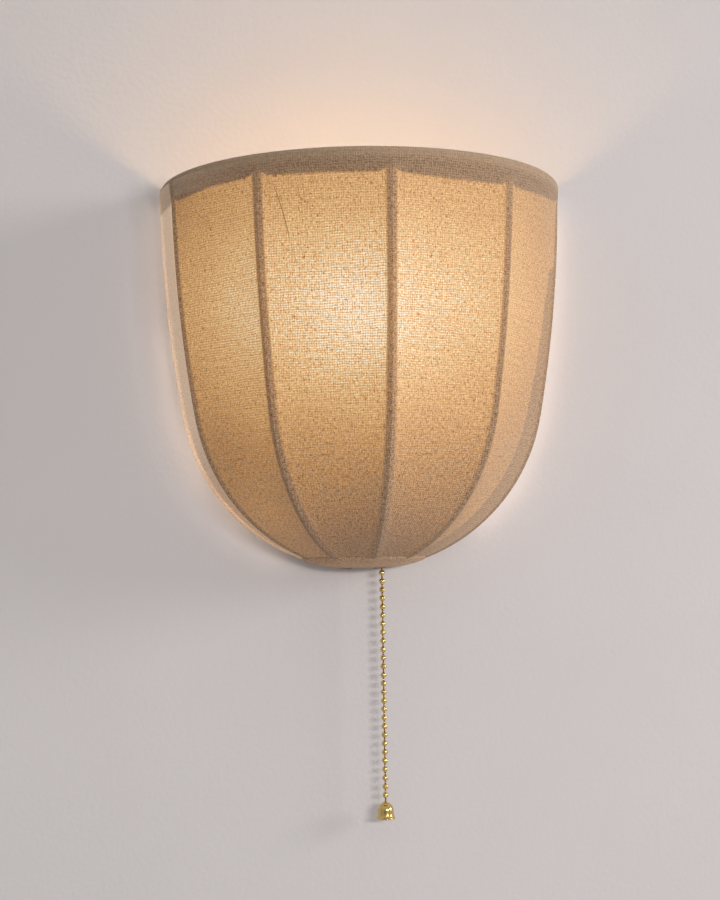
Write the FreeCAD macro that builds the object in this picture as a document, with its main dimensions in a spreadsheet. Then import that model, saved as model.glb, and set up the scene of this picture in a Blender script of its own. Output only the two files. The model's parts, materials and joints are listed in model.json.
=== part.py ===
import FreeCAD, Part
import math
import os
import re
import Sketcher
from FreeCAD import Placement, Rotation, Vector

# Half-dome fabric wall light with a pull chain.
# Frame: the wall is the plane Y = 0 and the light stands out towards -Y, +X is to the right, +Z is up.
# The origin is the middle of the two wall screws, which is also the level of the dome's centre.

# Every driving size, in millimetres and degrees: alias, value, meaning.
SIZES = (
    ("dome_radius", 95, "radius of the shade's lower dome, at the rib wires"),
    ("side_radius", 680, "radius of the long bow of the shade's side"),
    ("shoulder_drop", 17.5, "level below the origin where side and dome meet"),
    ("rim_height", 105, "level of the rim wire"),
    ("axis_depth", 10, "distance of the dome's axis from the wall"),
    ("rib_angle", 36.5, "angle from one rib to the next"),
    ("rib_wire", 3, "diameter of the rib and back wires"),
    ("rim_wire", 3.5, "diameter of the rim wire"),
    ("back_depth", 4, "distance of the back wire from the wall"),
    ("rib_end", 14, "distance from the axis where the ribs end"),
    ("weld_gap", 0.05, "gap left at a welded or glued seat"),
    ("skin", 0.8, "thickness of the fabric"),
    ("skin_offset", 0.9, "fabric's middle outside the line of the wires"),
    ("skin_gap", 0.25, "gap between one cloth piece and the next"),
    ("skin_sag", 2.5, "how far a stretched panel pulls in between two ribs"),
    ("skin_end", 18, "distance from the axis where panels and bindings end"),
    ("binding", 4.4, "outer diameter of the binding round a rib"),
    ("hem_height", 12.5, "height of the rim hem"),
    ("hem_wrap", 0.9, "thickness of the cloth round the rim and back wires"),
    ("edge_hem", 9, "width of the hem at the wall edges"),
    ("edge_hem_end", 23.5, "distance from the axis where the edge hems end"),
    ("plate_radius", 17, "radius of the bottom plate"),
    ("plate_wall", 1.5, "thickness of the bottom plate"),
    ("patch_radius", 20, "radius of the cloth patch under the pole"),
    ("wall_gap", 1.5, "gap between the wall and the back of plate and patch"),
    ("chain_side", 9, "distance of the chain to the right of the middle"),
    ("chain_depth", 12, "distance of the chain from the wall"),
    ("chain_hole", 8, "diameter of the hole for the chain"),
    ("bead", 3.2, "diameter of a chain bead"),
    ("bead_pitch", 4.55, "distance from bead to bead"),
    ("bead_link", 1.1, "diameter of the link between two beads"),
    ("upper_bead_count", 13, "number of beads above the swivel bead"),
    ("lower_bead_count", 26, "number of beads below the swivel bead"),
    ("swivel_drop", 99.4, "level of the swivel bead below the origin"),
    ("swivel_gap", 0.15, "gap between the swivel bead and the links beside it"),
    ("bell_drop", 1.1, "from the last link to the top of the bell"),
    ("bell_width", 10.2, "diameter of the bell's lip"),
    ("bell_dome", 8.5, "diameter of the bell's dome"),
    ("bell_height", 9.3, "height of the bell"),
    ("bell_wall", 0.8, "wall of the bell"),
    ("bell_skirt", 2, "height of the bell's flared lip"),
    ("canopy_width", 64, "width of the canopy"),
    ("canopy_height", 104, "height of the canopy"),
    ("canopy_depth", 24, "depth of the canopy"),
    ("canopy_corner", 12, "corner radius of the canopy"),
    ("canopy_wall", 1.2, "sheet thickness of the canopy"),
    ("strap_width", 20, "width of the mounting strap"),
    ("strap_length", 98, "length of the mounting strap"),
    ("strap_wall", 1.5, "thickness of the mounting strap"),
    ("arm_length", 60, "length of the strap's cross arm"),
    ("arm_width", 14, "width of the strap's cross arm"),
    ("earth_side", 5, "distance of the earth screw to the left of the middle"),
    ("earth_level", 6, "level of the earth screw"),
    ("screw_spacing", 40, "distance between the two wall screw holes"),
    ("screw_hole", 5, "diameter of a wall screw hole"),
    ("post_spacing", 50, "distance between the two posts that hold the canopy"),
    ("post_width", 7, "width of a post across its flats"),
    ("canopy_screw", 4, "diameter of a canopy screw"),
    ("canopy_screw_length", 12, "length of a canopy screw under its head"),
    ("screw_head", 8, "diameter of a canopy screw's head"),
    ("screw_head_height", 2.4, "height of a canopy screw's head"),
    ("screw_slot", 1, "width of the slot in a screw's head"),
    ("fit_gap", 0.05, "gap round a pin, nipple or screw in its hole"),
    ("overcut", 1, "how far a cutting tool runs past the piece it cuts"),
    ("nipple", 10, "diameter of the threaded nipples"),
    ("nipple_bore", 7, "bore of the threaded nipples"),
    ("nut_width", 14, "width of a nipple nut across its flats"),
    ("nut_height", 3, "height of a nipple nut"),
    ("nipple_end", 1, "how far a nipple stands out of its nut"),
    ("entry_drop", 12, "level of the entry nipple below the origin"),
    ("bracket_width", 24, "width of the lamp bracket"),
    ("bracket_wall", 2, "thickness of the lamp bracket"),
    ("shelf_clear", 33, "height of the bracket's shelf above the dome's pole"),
    ("lamp_depth", 55, "distance of the lamp's axis from the wall"),
    ("holder_width", 26, "diameter of the lamp holder's skirt"),
    ("holder_top", -2, "level of the lamp holder's mouth"),
    ("holder_wall", 2, "wall of the lamp holder"),
    ("base_height", 18, "height of the holder's base above the bracket's foot"),
    ("collar_width", 32, "diameter of the holder's collar under the fitter ring"),
    ("collar_height", 3, "height of the holder's collar"),
    ("fitter_drop", 22, "level of the fitter ring below the origin"),
    ("fitter_width", 40, "outer diameter of the fitter ring"),
    ("fitter_wall", 2, "thickness of the fitter ring"),
    ("spoke_gap", 0.5, "gap at both ends of a fitter spoke, to the ring nut and to the rib's binding"),
    ("ring_width", 36, "diameter of the shade ring nut"),
    ("ring_height", 9, "height of the shade ring nut"),
    ("ring_grip", 3, "height of the ring nut's knurled foot"),
    ("thread_pitch", 2.8, "pitch of the bulb's thread"),
    ("thread_depth", 0.6, "depth of the bulb's thread"),
    ("thread_turns", 5, "number of turns of the bulb's thread"),
    ("tip_width", 5, "diameter of the bulb's lower tip"),
    ("tip_height", 1, "height of the bulb's lower tip"),
    ("tip_bevel", 0.5, "bevel round the bulb's lower tip"),
    ("insulator_height", 2, "height of the bulb's insulator"),
    ("cap_floor", 1, "thickness of the floor of the bulb's screw cap"),
    ("filament", 1.6, "diameter of a filament stick"),
    ("filament_length", 24, "length of a filament stick"),
    ("filament_ring", 5, "distance of a filament stick from the bulb's axis"),
    ("bulb_width", 45, "diameter of the bulb's globe"),
    ("bulb_level", 30, "level of the globe's centre"),
    ("bulb_length", 78, "whole length of the bulb"),
    ("glass_wall", 0.8, "wall of the bulb's glass"),
    ("cap_width", 13.8, "diameter of the bulb's screw cap"),
    ("cap_height", 20, "height of the bulb's screw cap"),
    ("shell_wall", 0.5, "wall of the holder's screw shell"),
    ("switch_width", 19, "diameter of the switch housing"),
    ("switch_height", 24, "height of the switch housing"),
    ("switch_wall", 1.5, "wall of the switch housing"),
    ("bush_width", 8, "diameter of the switch's threaded bush"),
    ("bush_bore", 4.2, "bore of the switch's threaded bush"),
    ("bush_length", 9, "length of the bush below the canopy"),
    ("bush_flange", 1, "height of the bush's flange inside the switch"),
    ("bush_nut", 12, "width of the bush's nut across its flats"),
    ("drum_radius", 3.5, "radius at which the chain runs on the switch drum"),
    ("drum_wide", 6, "length of the switch drum"),
    ("drum_flange", 1, "thickness of the drum's two flanges"),
    ("drum_lip", 0.1, "how far the flanges stand out past the chain's middle"),
    ("drum_clear", 0.15, "gap between the chain's beads and the drum's core"),
    ("axle", 2, "diameter of the switch drum's axle"),
    ("axle_inset", 0.5, "how far the axle's ends lie inside the housing's face"),
    ("block_width", 30, "width of the terminal block"),
    ("block_height", 14, "height of the terminal block"),
    ("block_depth", 12, "depth of the terminal block"),
    ("block_level", 32.5, "level of the terminal block's middle"),
    ("block_pitch", 10, "distance between the ways of the terminal block"),
    ("block_bore", 3.4, "bore of a way in the terminal block"),
    ("lead", 2.2, "diameter of an insulated lead"),
    ("lead_side", 1.4, "distance of a lead from the nipple's axis"),
    ("lead_bend", 3.5, "bend radius of a lead"),
    ("lead_hole", 7, "diameter of the hole for the leads in the bracket's shelf"),
    ("lead_depth", 32.5, "distance of that hole from the wall"),
    ("lead_loop", 5, "bend radius of the leads' loop under the shelf"),
    ("lead_clear", 3, "gap between that loop and the binding of the front rib"),
    ("lead_step", 6, "how far the switched lead steps forward from the switch"),
    ("lead_entry", 1, "how far a lead enters the switch"),
)

# Sizes that follow from the driving ones.
DERIVED = (
    ("shoulder_reach", "sqrt(dome_radius^2 - shoulder_drop^2)", "distance of the shoulder from the axis"),
    ("bow_x", "(side_radius - dome_radius) * shoulder_reach / dome_radius",
     "side bow's centre beyond the axis"),
    ("bow_z", "(side_radius - dome_radius) * shoulder_drop / dome_radius", "level of the side bow's centre"),
    ("rim_radius", "sqrt(side_radius^2 - (rim_height - bow_z)^2) - bow_x", "radius of the rim wire"),
    ("hem_foot", "rim_height - hem_height + rim_wire / 2 + hem_wrap", "level of the rim hem's lower edge"),
    ("drum_level", "(upper_bead_count + 0.5) * bead_pitch - swivel_drop", "level of the switch drum's axle"),
    ("chain_end", "-swivel_drop - (lower_bead_count + 0.5) * bead_pitch", "level of the last link's foot"),
    ("fitter_reach", "sqrt(dome_radius^2 - fitter_drop^2)",
     "distance of the ribs from the axis at the fitter"),
    ("canopy_front", "canopy_depth + bracket_wall", "distance of the bracket's face from the wall"),
    ("switch_foot", "canopy_wall - canopy_height / 2", "level of the switch housing's foot"),
    ("bulb_foot", "bulb_level + bulb_width / 2 - bulb_length", "level of the bulb's lower tip"),
    ("rim_end", "back_depth - rib_wire / 2", "distance of the rim wire's ends from the wall"),
    ("bracket_drop", "dome_radius - shelf_clear", "level of the bracket's shelf below the origin"),
    ("holder_joint", "base_height - bracket_drop", "level where the holder's skirt meets its base"),
    ("bend_reach", "dome_radius - binding / 2 - lead_clear - lead / 2 - lead_loop",
     "distance of the middle of the leads' last bend from the dome's centre"),
    ("loop_level", "-sqrt(bend_reach^2 - (lamp_depth - lead_loop - axis_depth)^2) - lead_loop",
     "level of the leads' loop under the shelf"),
)

doc = FreeCAD.newDocument("wall_light")
sheet = doc.addObject("Spreadsheet::Sheet", "sizes")


def fill_sheet():
    """Write the driving sizes as plain numbers and the derived ones as formulas, each with its alias."""
    for row, (alias, value, meaning) in enumerate(SIZES + DERIVED, start=1):
        sheet.set(f"A{row}", alias)
        sheet.set(f"B{row}", "=" + value if isinstance(value, str) else str(value))
        sheet.setAlias(f"B{row}", alias)
        sheet.set(f"C{row}", meaning)
    doc.recompute()


fill_sheet()


def cell(formula):
    """Turn a formula in plain aliases into an expression that reads the sheet."""
    aliases = {row[0] for row in SIZES + DERIVED}
    return re.sub(r"[a-z_]+", lambda m: "sizes." + m.group() if m.group() in aliases else m.group(), formula)


def size(formula):
    """The number that a formula in aliases gives."""
    return float(sheet.evalExpression(cell(formula)))


def bow(height):
    """Formula for the distance from the axis to the wires at a level above the shoulder."""
    return f"(sqrt(side_radius^2 - ({height} - bow_z)^2) - bow_x)"


def dome(height):
    """Formula for the distance from the axis to the wires at a level below the shoulder."""
    return f"sqrt(dome_radius^2 - ({height})^2)"


# ------------------------------------------------------------------ helpers

parts = []


def place(item, at=("0", "0", "0"), turn="0"):
    """Bind an object's place to formulas, and its turn about Z to a formula in degrees."""
    if turn != "0":
        item.Placement.Rotation = Rotation(Vector(0, 0, 1), 1)
        item.setExpression("Placement.Rotation.Angle", cell(turn))
    for axis, formula in zip("xyz", at):
        if formula != "0":
            item.setExpression(f"Placement.Base.{axis}", cell(formula))


def new_body(label, at=("0", "0", "0"), turn="0"):
    """A body of its own, whose label names its file."""
    body = doc.addObject("PartDesign::Body", label)
    body.Label = label
    place(body, at, turn)
    parts.append(body)
    return body


def new_sketch(body, plane, offset="0"):
    """A sketch on one of the body's origin planes, moved along the plane's normal by a formula."""
    sketch = body.newObject("Sketcher::SketchObject", f"{body.Name}_sketch")
    sketch.AttachmentSupport = ([f for f in body.Origin.OriginFeatures if f.Role == plane][0], [""])
    sketch.MapMode = "FlatFace"
    if offset != "0":
        sketch.setExpression("AttachmentOffset.Base.z", cell(offset))
    return sketch


def rule(sketch, formula, *constraint):
    """Add a dimension to a sketch and bind it to a formula."""
    index = sketch.addConstraint(Sketcher.Constraint(*constraint, size(formula)))
    sketch.setExpression(f"Constraints[{index}]", cell(formula))


def tie(sketch, *constraint):
    """Add a constraint that has no dimension."""
    sketch.addConstraint(Sketcher.Constraint(*constraint))


def arc(centre, radius, start, end):
    """An arc, anticlockwise from start to end in degrees."""
    circle = Part.Circle(Vector(*centre, 0), Vector(0, 0, 1), radius)
    return Part.ArcOfCircle(circle, math.radians(start), math.radians(end))


def add_circle(sketch, x, y, diameter):
    """A circle whose centre and diameter are formulas."""
    i = sketch.addGeometry(Part.Circle(Vector(size(x), size(y), 0), Vector(0, 0, 1), size(diameter) / 2))
    for kind, formula, axis in (("DistanceX", x, -2), ("DistanceY", y, -1)):
        if formula == "0":
            tie(sketch, "PointOnObject", i, 3, axis)
        elif size(formula) < 0:
            rule(sketch, f"-({formula})", kind, i, 3, -1, 1)
        else:
            rule(sketch, formula, kind, -1, 1, i, 3)
    rule(sketch, diameter, "Diameter", i)


def add_polygon(sketch, points):
    """A closed outline of straight lines through points given as pairs of formulas."""
    spots = [Vector(size(x), size(y), 0) for x, y in points]
    first = sketch.GeometryCount
    count = len(spots)
    for n in range(count):
        sketch.addGeometry(Part.LineSegment(spots[n], spots[(n + 1) % count]))
    for n in range(count):
        tie(sketch, "Coincident", first + n, 2, first + (n + 1) % count, 1)
    for n, (x, y) in enumerate(points):
        for kind, formula, axis in (("DistanceX", x, -2), ("DistanceY", y, -1)):
            if formula == "0":
                tie(sketch, "PointOnObject", first + n, 1, axis)
            elif size(formula) < 0:
                rule(sketch, f"-({formula})", kind, first + n, 1, -1, 1)
            else:
                rule(sketch, formula, kind, -1, 1, first + n, 1)


def box_points(x0, x1, y0, y1):
    """The corners of a rectangle between four formulas."""
    return [(x0, y0), (x1, y0), (x1, y1), (x0, y1)]


def pad(body, sketch, length, kind="PartDesign::Pad", reverse=False, both=False):
    """A pad or pocket of a sketch, by a formula."""
    feature = body.newObject(kind, f"{body.Name}_{kind.split('::')[1].lower()}")
    feature.Profile = sketch
    feature.Reversed = reverse
    feature.Midplane = both
    feature.setExpression("Length", cell(length))
    doc.recompute()
    return feature


def spin(body, sketch, kind="PartDesign::Revolution"):
    """A full turn of a sketch in the XZ plane about the body's Z axis."""
    feature = body.newObject(kind, f"{body.Name}_turned")
    feature.Profile = sketch
    feature.ReferenceAxis = (sketch, ["V_Axis"])
    feature.Angle = 360
    doc.recompute()
    return feature


def turned(label, at, *outlines):
    """A turned piece: each outline lies in the XZ plane as (radius, level) formulas."""
    body = new_body(label, at)
    for outline in outlines:
        sketch = new_sketch(body, "XZ_Plane")
        add_polygon(sketch, outline)
        spin(body, sketch)
    return body


def pipe(body, spine, profile):
    """Sweep a profile along a spine."""
    feature = body.newObject("PartDesign::AdditivePipe", f"{body.Name}_pipe")
    feature.Profile = profile
    feature.Spine = spine
    doc.recompute()
    return feature


# ------------------------------------------------------------------ the shade's frame

def meridian(body, top, end):
    """The line of a rib: the side's long bow, tangent to the dome, from a level down to a reach."""
    sketch = new_sketch(body, "XZ_Plane")
    lean = math.degrees(math.asin(size("shoulder_drop / dome_radius")))
    start = math.degrees(math.asin((size(top) - size("bow_z")) / size("side_radius")))
    foot = -math.degrees(math.acos(size(end) / size("dome_radius")))
    sketch.addGeometry(arc((-size("bow_x"), size("bow_z")), size("side_radius"), -lean, start))
    sketch.addGeometry(arc((0, 0), size("dome_radius"), foot, -lean))
    tie(sketch, "Coincident", 1, 3, -1, 1)
    rule(sketch, "dome_radius", "Radius", 1)
    rule(sketch, "side_radius", "Radius", 0)
    tie(sketch, "Tangent", 0, 1, 1, 2)
    rule(sketch, "shoulder_drop", "DistanceY", 0, 1, -1, 1)
    rule(sketch, top, "DistanceY", -1, 1, 0, 2)
    rule(sketch, end, "DistanceX", -1, 1, 1, 1)
    return sketch


def rib_pipe(label, turn, top, end, *diameters):
    """A wire, or a sleeve if it has two diameters, that follows a rib's line."""
    body = new_body(label, ("0", "-axis_depth", "0"), turn)
    profile = new_sketch(body, "XY_Plane", top)
    for diameter in diameters:
        add_circle(profile, bow(top), "0", diameter)
    pipe(body, meridian(body, top, end), profile)


RIBS = range(-2, 3)
WIRE_TOP = "rim_height - rim_wire / 2 - weld_gap"
for rib in RIBS:
    rib_pipe(f"rib_wire_{rib + 3}", f"{rib} * rib_angle - 90", WIRE_TOP, "rib_end", "rib_wire")
    rib_pipe(f"rib_binding_{rib + 3}", f"{rib} * rib_angle - 90", "hem_foot - skin_gap", "skin_end",
             "binding", "rib_wire + 2 * weld_gap")

rim_wire = new_body("rim_wire")
RIM_LINE = ("rim_radius", "axis_depth", "rim_end")


def rim_line(body, level):
    """The rim's line seen from above: a half circle with a short straight run back to the wall."""
    sketch = new_sketch(body, "XY_Plane", level)
    r, d, e = (size(f) for f in RIM_LINE)
    sketch.addGeometry(Part.LineSegment(Vector(-r, -e, 0), Vector(-r, -d, 0)))
    sketch.addGeometry(arc((0, -d), r, 180, 360))
    sketch.addGeometry(Part.LineSegment(Vector(r, -d, 0), Vector(r, -e, 0)))
    tie(sketch, "PointOnObject", 1, 3, -2)
    rule(sketch, "axis_depth", "DistanceY", 1, 3, -1, 1)
    rule(sketch, "rim_radius", "Radius", 1)
    tie(sketch, "Tangent", 0, 2, 1, 1)
    tie(sketch, "Tangent", 1, 2, 2, 1)
    tie(sketch, "Vertical", 0)
    tie(sketch, "Vertical", 2)
    rule(sketch, "rim_end", "DistanceY", 0, 1, -1, 1)
    rule(sketch, "rim_end", "DistanceY", 2, 2, -1, 1)
    return sketch


profile = new_sketch(rim_wire, "XZ_Plane", "rim_end")
add_circle(profile, "-rim_radius", "rim_height", "rim_wire")
pipe(rim_wire, rim_line(rim_wire, "rim_height"), profile)

back_wire = new_body("back_wire", ("0", "-back_depth", "0"))
spine = new_sketch(back_wire, "XZ_Plane")
lean = math.degrees(math.asin(size("shoulder_drop / dome_radius")))
start = math.degrees(math.asin((size(WIRE_TOP) - size("bow_z")) / size("side_radius")))
spine.addGeometry(arc((-size("bow_x"), size("bow_z")), size("side_radius"), -lean, start))
spine.addGeometry(arc((0, 0), size("dome_radius"), 180 + lean, 360 - lean))
spine.addGeometry(arc((size("bow_x"), size("bow_z")), size("side_radius"), 180 - start, 180 + lean))
tie(spine, "Coincident", 1, 3, -1, 1)
rule(spine, "dome_radius", "Radius", 1)
rule(spine, "side_radius", "Radius", 0)
rule(spine, "side_radius", "Radius", 2)
tie(spine, "Tangent", 0, 1, 1, 2)
tie(spine, "Tangent", 2, 2, 1, 1)
rule(spine, "shoulder_drop", "DistanceY", 0, 1, -1, 1)
rule(spine, "shoulder_drop", "DistanceY", 2, 2, -1, 1)
rule(spine, WIRE_TOP, "DistanceY", -1, 1, 0, 2)
rule(spine, WIRE_TOP, "DistanceY", -1, 1, 2, 1)
profile = new_sketch(back_wire, "XY_Plane", WIRE_TOP)
add_circle(profile, bow(WIRE_TOP), "0", "rib_wire")
pipe(back_wire, spine, profile)


# ------------------------------------------------------------------ the shade's cloth

def hook_profile(sketch, x, y, out, down, inner, tail):
    """Cloth wrapped half round a wire, with a tail: out and down are the signs of the tail's side and way."""
    cx, cy = size(x), size(y)
    ri, ro, length = size(inner), size(f"{inner} + hem_wrap"), size(tail)
    half = (0, 180) if down < 0 else (180, 360)
    near = 1 if out * down < 0 else 2
    far = 3 - near
    sketch.addGeometry(arc((cx, cy), ro, *half))
    sketch.addGeometry(arc((cx, cy), ri, *half))
    spots = [(cx + out * ro, cy), (cx + out * ro, cy + down * length), (cx + out * ri, cy + down * length),
             (cx + out * ri, cy)]
    for a, b in zip(spots, spots[1:]):
        sketch.addGeometry(Part.LineSegment(Vector(*a, 0), Vector(*b, 0)))
    sketch.addGeometry(Part.LineSegment(Vector(cx - out * ri, cy, 0), Vector(cx - out * ro, cy, 0)))
    for a, pa, b, pb in ((0, near, 2, 1), (2, 2, 3, 1), (3, 2, 4, 1), (4, 2, 1, near), (1, far, 5, 1),
                         (5, 2, 0, far), (0, 3, 1, 3)):
        tie(sketch, "Coincident", a, pa, b, pb)
    for ring in (0, 1):
        for end in (1, 2):
            tie(sketch, "Horizontal", ring, end, ring, 3)
    tie(sketch, "Vertical", 2)
    tie(sketch, "Vertical", 4)
    tie(sketch, "Horizontal", 3)
    rule(sketch, f"{inner} + hem_wrap", "Radius", 0)
    rule(sketch, inner, "Radius", 1)
    rule(sketch, tail, "DistanceY", 2, 2 if down < 0 else 1, 2, 1 if down < 0 else 2)
    for kind, formula, number, axis in (("DistanceX", x, cx, -2), ("DistanceY", y, cy, -1)):
        if formula == "0":
            tie(sketch, "PointOnObject", 0, 3, axis)
        elif number < 0:
            rule(sketch, f"-({formula})", kind, 0, 3, -1, 1)
        else:
            rule(sketch, formula, kind, -1, 1, 0, 3)


rim_hem = new_body("rim_hem")
profile = new_sketch(rim_hem, "XZ_Plane", "rim_end")
hook_profile(profile, "-rim_radius", "rim_height", -1, -1, "rim_wire / 2 + weld_gap", "rim_height - hem_foot")
pipe(rim_hem, rim_line(rim_hem, "rim_height"), profile)

EDGE_TOP = "hem_foot - skin_gap"
for side, turn, down in (("left", "180", 1), ("right", "0", -1)):
    edge = new_body(f"edge_hem_{side}", ("0", "-back_depth", "0"), turn)
    profile = new_sketch(edge, "XY_Plane", EDGE_TOP)
    hook_profile(profile, bow(EDGE_TOP), "0", 1, down, "rib_wire / 2 + weld_gap",
                 "edge_hem - rib_wire / 2 - weld_gap - hem_wrap")
    pipe(edge, meridian(edge, EDGE_TOP, "edge_hem_end"), profile)


def line_point(part_way, foot, top):
    """A point of the rib line as (reach, level, outward reach, outward level), by the share of its length."""
    big, small = size("side_radius"), size("dome_radius")
    lean = math.asin(size("shoulder_drop") / small)
    first = math.asin((top - size("bow_z")) / big)
    last = math.acos(foot / small)
    upper = big * (lean + first)
    along = part_way * (upper + small * (last - lean))
    if along < upper:
        turn = along / big - first
        return (big * math.cos(turn) - size("bow_x"), size("bow_z") - big * math.sin(turn),
                math.cos(turn), -math.sin(turn))
    turn = lean + (along - upper) / small
    return small * math.cos(turn), -small * math.sin(turn), math.cos(turn), -math.sin(turn)


def carrier(number, spot):
    """Place and outward direction of a spot on rib -2 to 2, or on the back wire's sides, -3 and 3."""
    reach, level, out, up = spot
    if abs(number) == 3:
        way, base = Vector(math.copysign(1, number), 0, 0), Vector(0, -size("back_depth"), 0)
    else:
        angle = math.radians(number * size("rib_angle"))
        way, base = Vector(math.sin(angle), -math.cos(angle), 0), Vector(0, -size("axis_depth"), 0)
    return base + way * reach + Vector(0, 0, level), way * out + Vector(0, 0, up)


ACROSS, ALONG = 5, 15


def panel_grid(left, right, shift):
    """Points of a stretched panel between two carriers, moved outwards by shift.

    Across, the panel is a chord with a parabola on it: it follows the rim's arc at the top, which dies out
    over a third of the panel's width, and pulls in by the sag lower down."""
    top, foot = size("rim_height - rim_wire / 2 - skin_gap"), size("skin_end")
    margin = size("binding / 2 + skin_gap")
    wide = 2 * size("rim_radius") * math.sin(math.radians(size("rib_angle")) / 2)
    grid = []
    for i in range(ALONG):
        share = i / (ALONG - 1)
        spot = line_point(share, foot, top)
        (a, na), (b, nb) = carrier(left, spot), carrier(right, spot)
        chord = (b - a).Length
        rise = chord ** 2 / (8 * size("rim_radius")) * math.exp((spot[1] - top) * math.pi / wide)
        dip = size("skin_sag") * chord / wide * math.sin(math.pi * share)
        row = []
        for j in range(ACROSS):
            u = margin / chord + (1 - 2 * margin / chord) * j / (ACROSS - 1)
            normal = (na * (1 - u) + nb * u).normalize()
            row.append(a + (b - a) * u + normal * (shift + 4 * u * (1 - u) * (rise - dip)))
        grid.append(row)
    return grid


def panel_solid(left, right):
    """A closed solid between the panel's inner and outer surfaces."""
    skins = []
    for half in (0.5, -0.5):
        surface = Part.BSplineSurface()
        surface.interpolate(panel_grid(left, right, size("skin_offset") + half * size("skin")))
        skins.append(surface)
    outer, inner = skins
    u0, u1, v0, v1 = outer.bounds()
    faces = [outer.toShape(), inner.toShape()]
    for a, b in ((outer.uIso(u0), inner.uIso(u0)), (outer.uIso(u1), inner.uIso(u1)),
                 (outer.vIso(v0), inner.vIso(v0)), (outer.vIso(v1), inner.vIso(v1))):
        faces.append(Part.makeRuledSurface(a.toShape(), b.toShape()))
    shell = Part.Shell(faces)
    shell.sewShape()
    solid = Part.Solid(shell)
    if solid.Volume < 0:
        solid.reverse()
    return solid


def shaped(label, shape):
    """A piece whose shape is worked out here from the sheet's sizes."""
    item = doc.addObject("Part::Feature", label)
    item.Label = label
    item.Shape = shape
    parts.append(item)


for number in range(-3, 3):
    shaped(f"panel_{number + 4}", panel_solid(number, number + 1))


# ------------------------------------------------------------------ primitives and booleans

def primitive(kind, at, turn=None, **sizes):
    """A Part primitive whose sizes and place are formulas; turn is (axis, degrees)."""
    item = doc.addObject(f"Part::{kind}", "tool")
    for name, formula in sizes.items():
        item.setExpression(name, cell(formula))
    if turn:
        item.Placement.Rotation = Rotation(Vector(*turn[0]), turn[1])
    for axis, formula in zip("xyz", at):
        if formula != "0":
            item.setExpression(f"Placement.Base.{axis}", cell(formula))
    return item


def rod(at, width, length, axis="z"):
    """A cylinder of a diameter and a length from a point along +X, -Y or +Z."""
    turn = {"x": ((0, 1, 0), 90), "y": ((1, 0, 0), 90), "z": None}[axis]
    return primitive("Cylinder", at, turn, Radius=f"({width}) / 2", Height=length)


def block(at, x, y, z):
    """A box from its lowest corner."""
    return primitive("Box", at, None, Length=x, Width=y, Height=z)


def nut(at, width, height, axis="z"):
    """A hexagonal prism of a width across flats."""
    turn = {"y": ((1, 0, 0), 90), "z": None}[axis]
    item = primitive("Prism", at, turn, Circumradius=f"({width}) / sqrt(3)", Height=height)
    item.Polygon = 6
    return item


def boolean(kind, base, tools):
    """A Cut or Common of two objects, or a Fuse of all of them."""
    item = doc.addObject(f"Part::{kind}", kind.lower())
    if kind == "MultiFuse":
        item.Shapes = [base, *tools]
        return item
    item.Base, item.Tool = base, tools[0]
    return boolean(kind, item, tools[1:]) if tools[1:] else item


def cut(base, *tools):
    return boolean("Cut", base, tools)


def common(base, tool):
    return boolean("Common", base, (tool,))


def fuse(base, *tools):
    return boolean("MultiFuse", base, tools)


def piece(label, item):
    """Name a finished piece and keep it for export."""
    item.Label = label
    parts.append(item)


def cap_shell(label, inner, wall, radius):
    """A piece of a ball's shell round the pole, cut straight at the wall, with the hole for the chain."""
    centre = ("0", "-axis_depth", "0")
    ball = cut(primitive("Sphere", centre, Radius=f"{inner} + {wall}"),
               primitive("Sphere", centre, Radius=inner))
    disc = common(ball, rod(("0", "-axis_depth", "-2 * dome_radius"), f"2 * {radius}", "dome_radius * 1.5"))
    behind = block((f"-{radius}", "-wall_gap", "-2 * dome_radius"), f"2 * {radius}", radius,
                   "2 * dome_radius")
    hole = rod(("chain_side", "-chain_depth", "-2 * dome_radius"), "chain_hole", "2 * dome_radius")
    piece(label, cut(disc, behind, hole))


cap_shell("bottom_plate", "dome_radius - rib_wire / 2 - weld_gap - plate_wall", "plate_wall", "plate_radius")
cap_shell("bottom_patch", "dome_radius + binding / 2 + 2 * weld_gap", "skin", "patch_radius")


# ------------------------------------------------------------------ the fitter that carries the shade

SPOKE_ROOT = "ring_width / 2 + spoke_gap"


def spoke(x, y):
    """A wire from the fitter ring to the binding at (x, y), level with the ring."""
    length = f"(sqrt(({x})^2 + ({y} + lamp_depth)^2) - binding / 2 - spoke_gap - ({SPOKE_ROOT}))"
    item = doc.addObject("Part::Cylinder", "spoke")
    item.setExpression("Radius", cell("rib_wire / 2"))
    item.setExpression("Height", cell(length))
    way = Vector(size(x), size(f"{y} + lamp_depth"), 0).normalize()
    start = way * size(SPOKE_ROOT) + Vector(0, -size("lamp_depth"), -size("fitter_drop"))
    item.Placement = Placement(start, Rotation(Vector(0, 0, 1), way))
    return item


ring = cut(rod(("0", "-lamp_depth", "-fitter_drop - fitter_wall / 2"), "fitter_width", "fitter_wall"),
           rod(("0", "-lamp_depth", "-fitter_drop - fitter_wall"), "holder_width + 2 * fit_gap",
               "2 * fitter_wall"))
spokes = [spoke(f"{sign}fitter_reach * sin(2 * rib_angle)", "-axis_depth - fitter_reach * cos(2 * rib_angle)")
          for sign in ("", "-")]
spokes.append(spoke("0 * rib_angle", "-axis_depth - fitter_reach"))
piece("fitter", fuse(ring, *spokes))


# ------------------------------------------------------------------ canopy, strap and bracket

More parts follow.
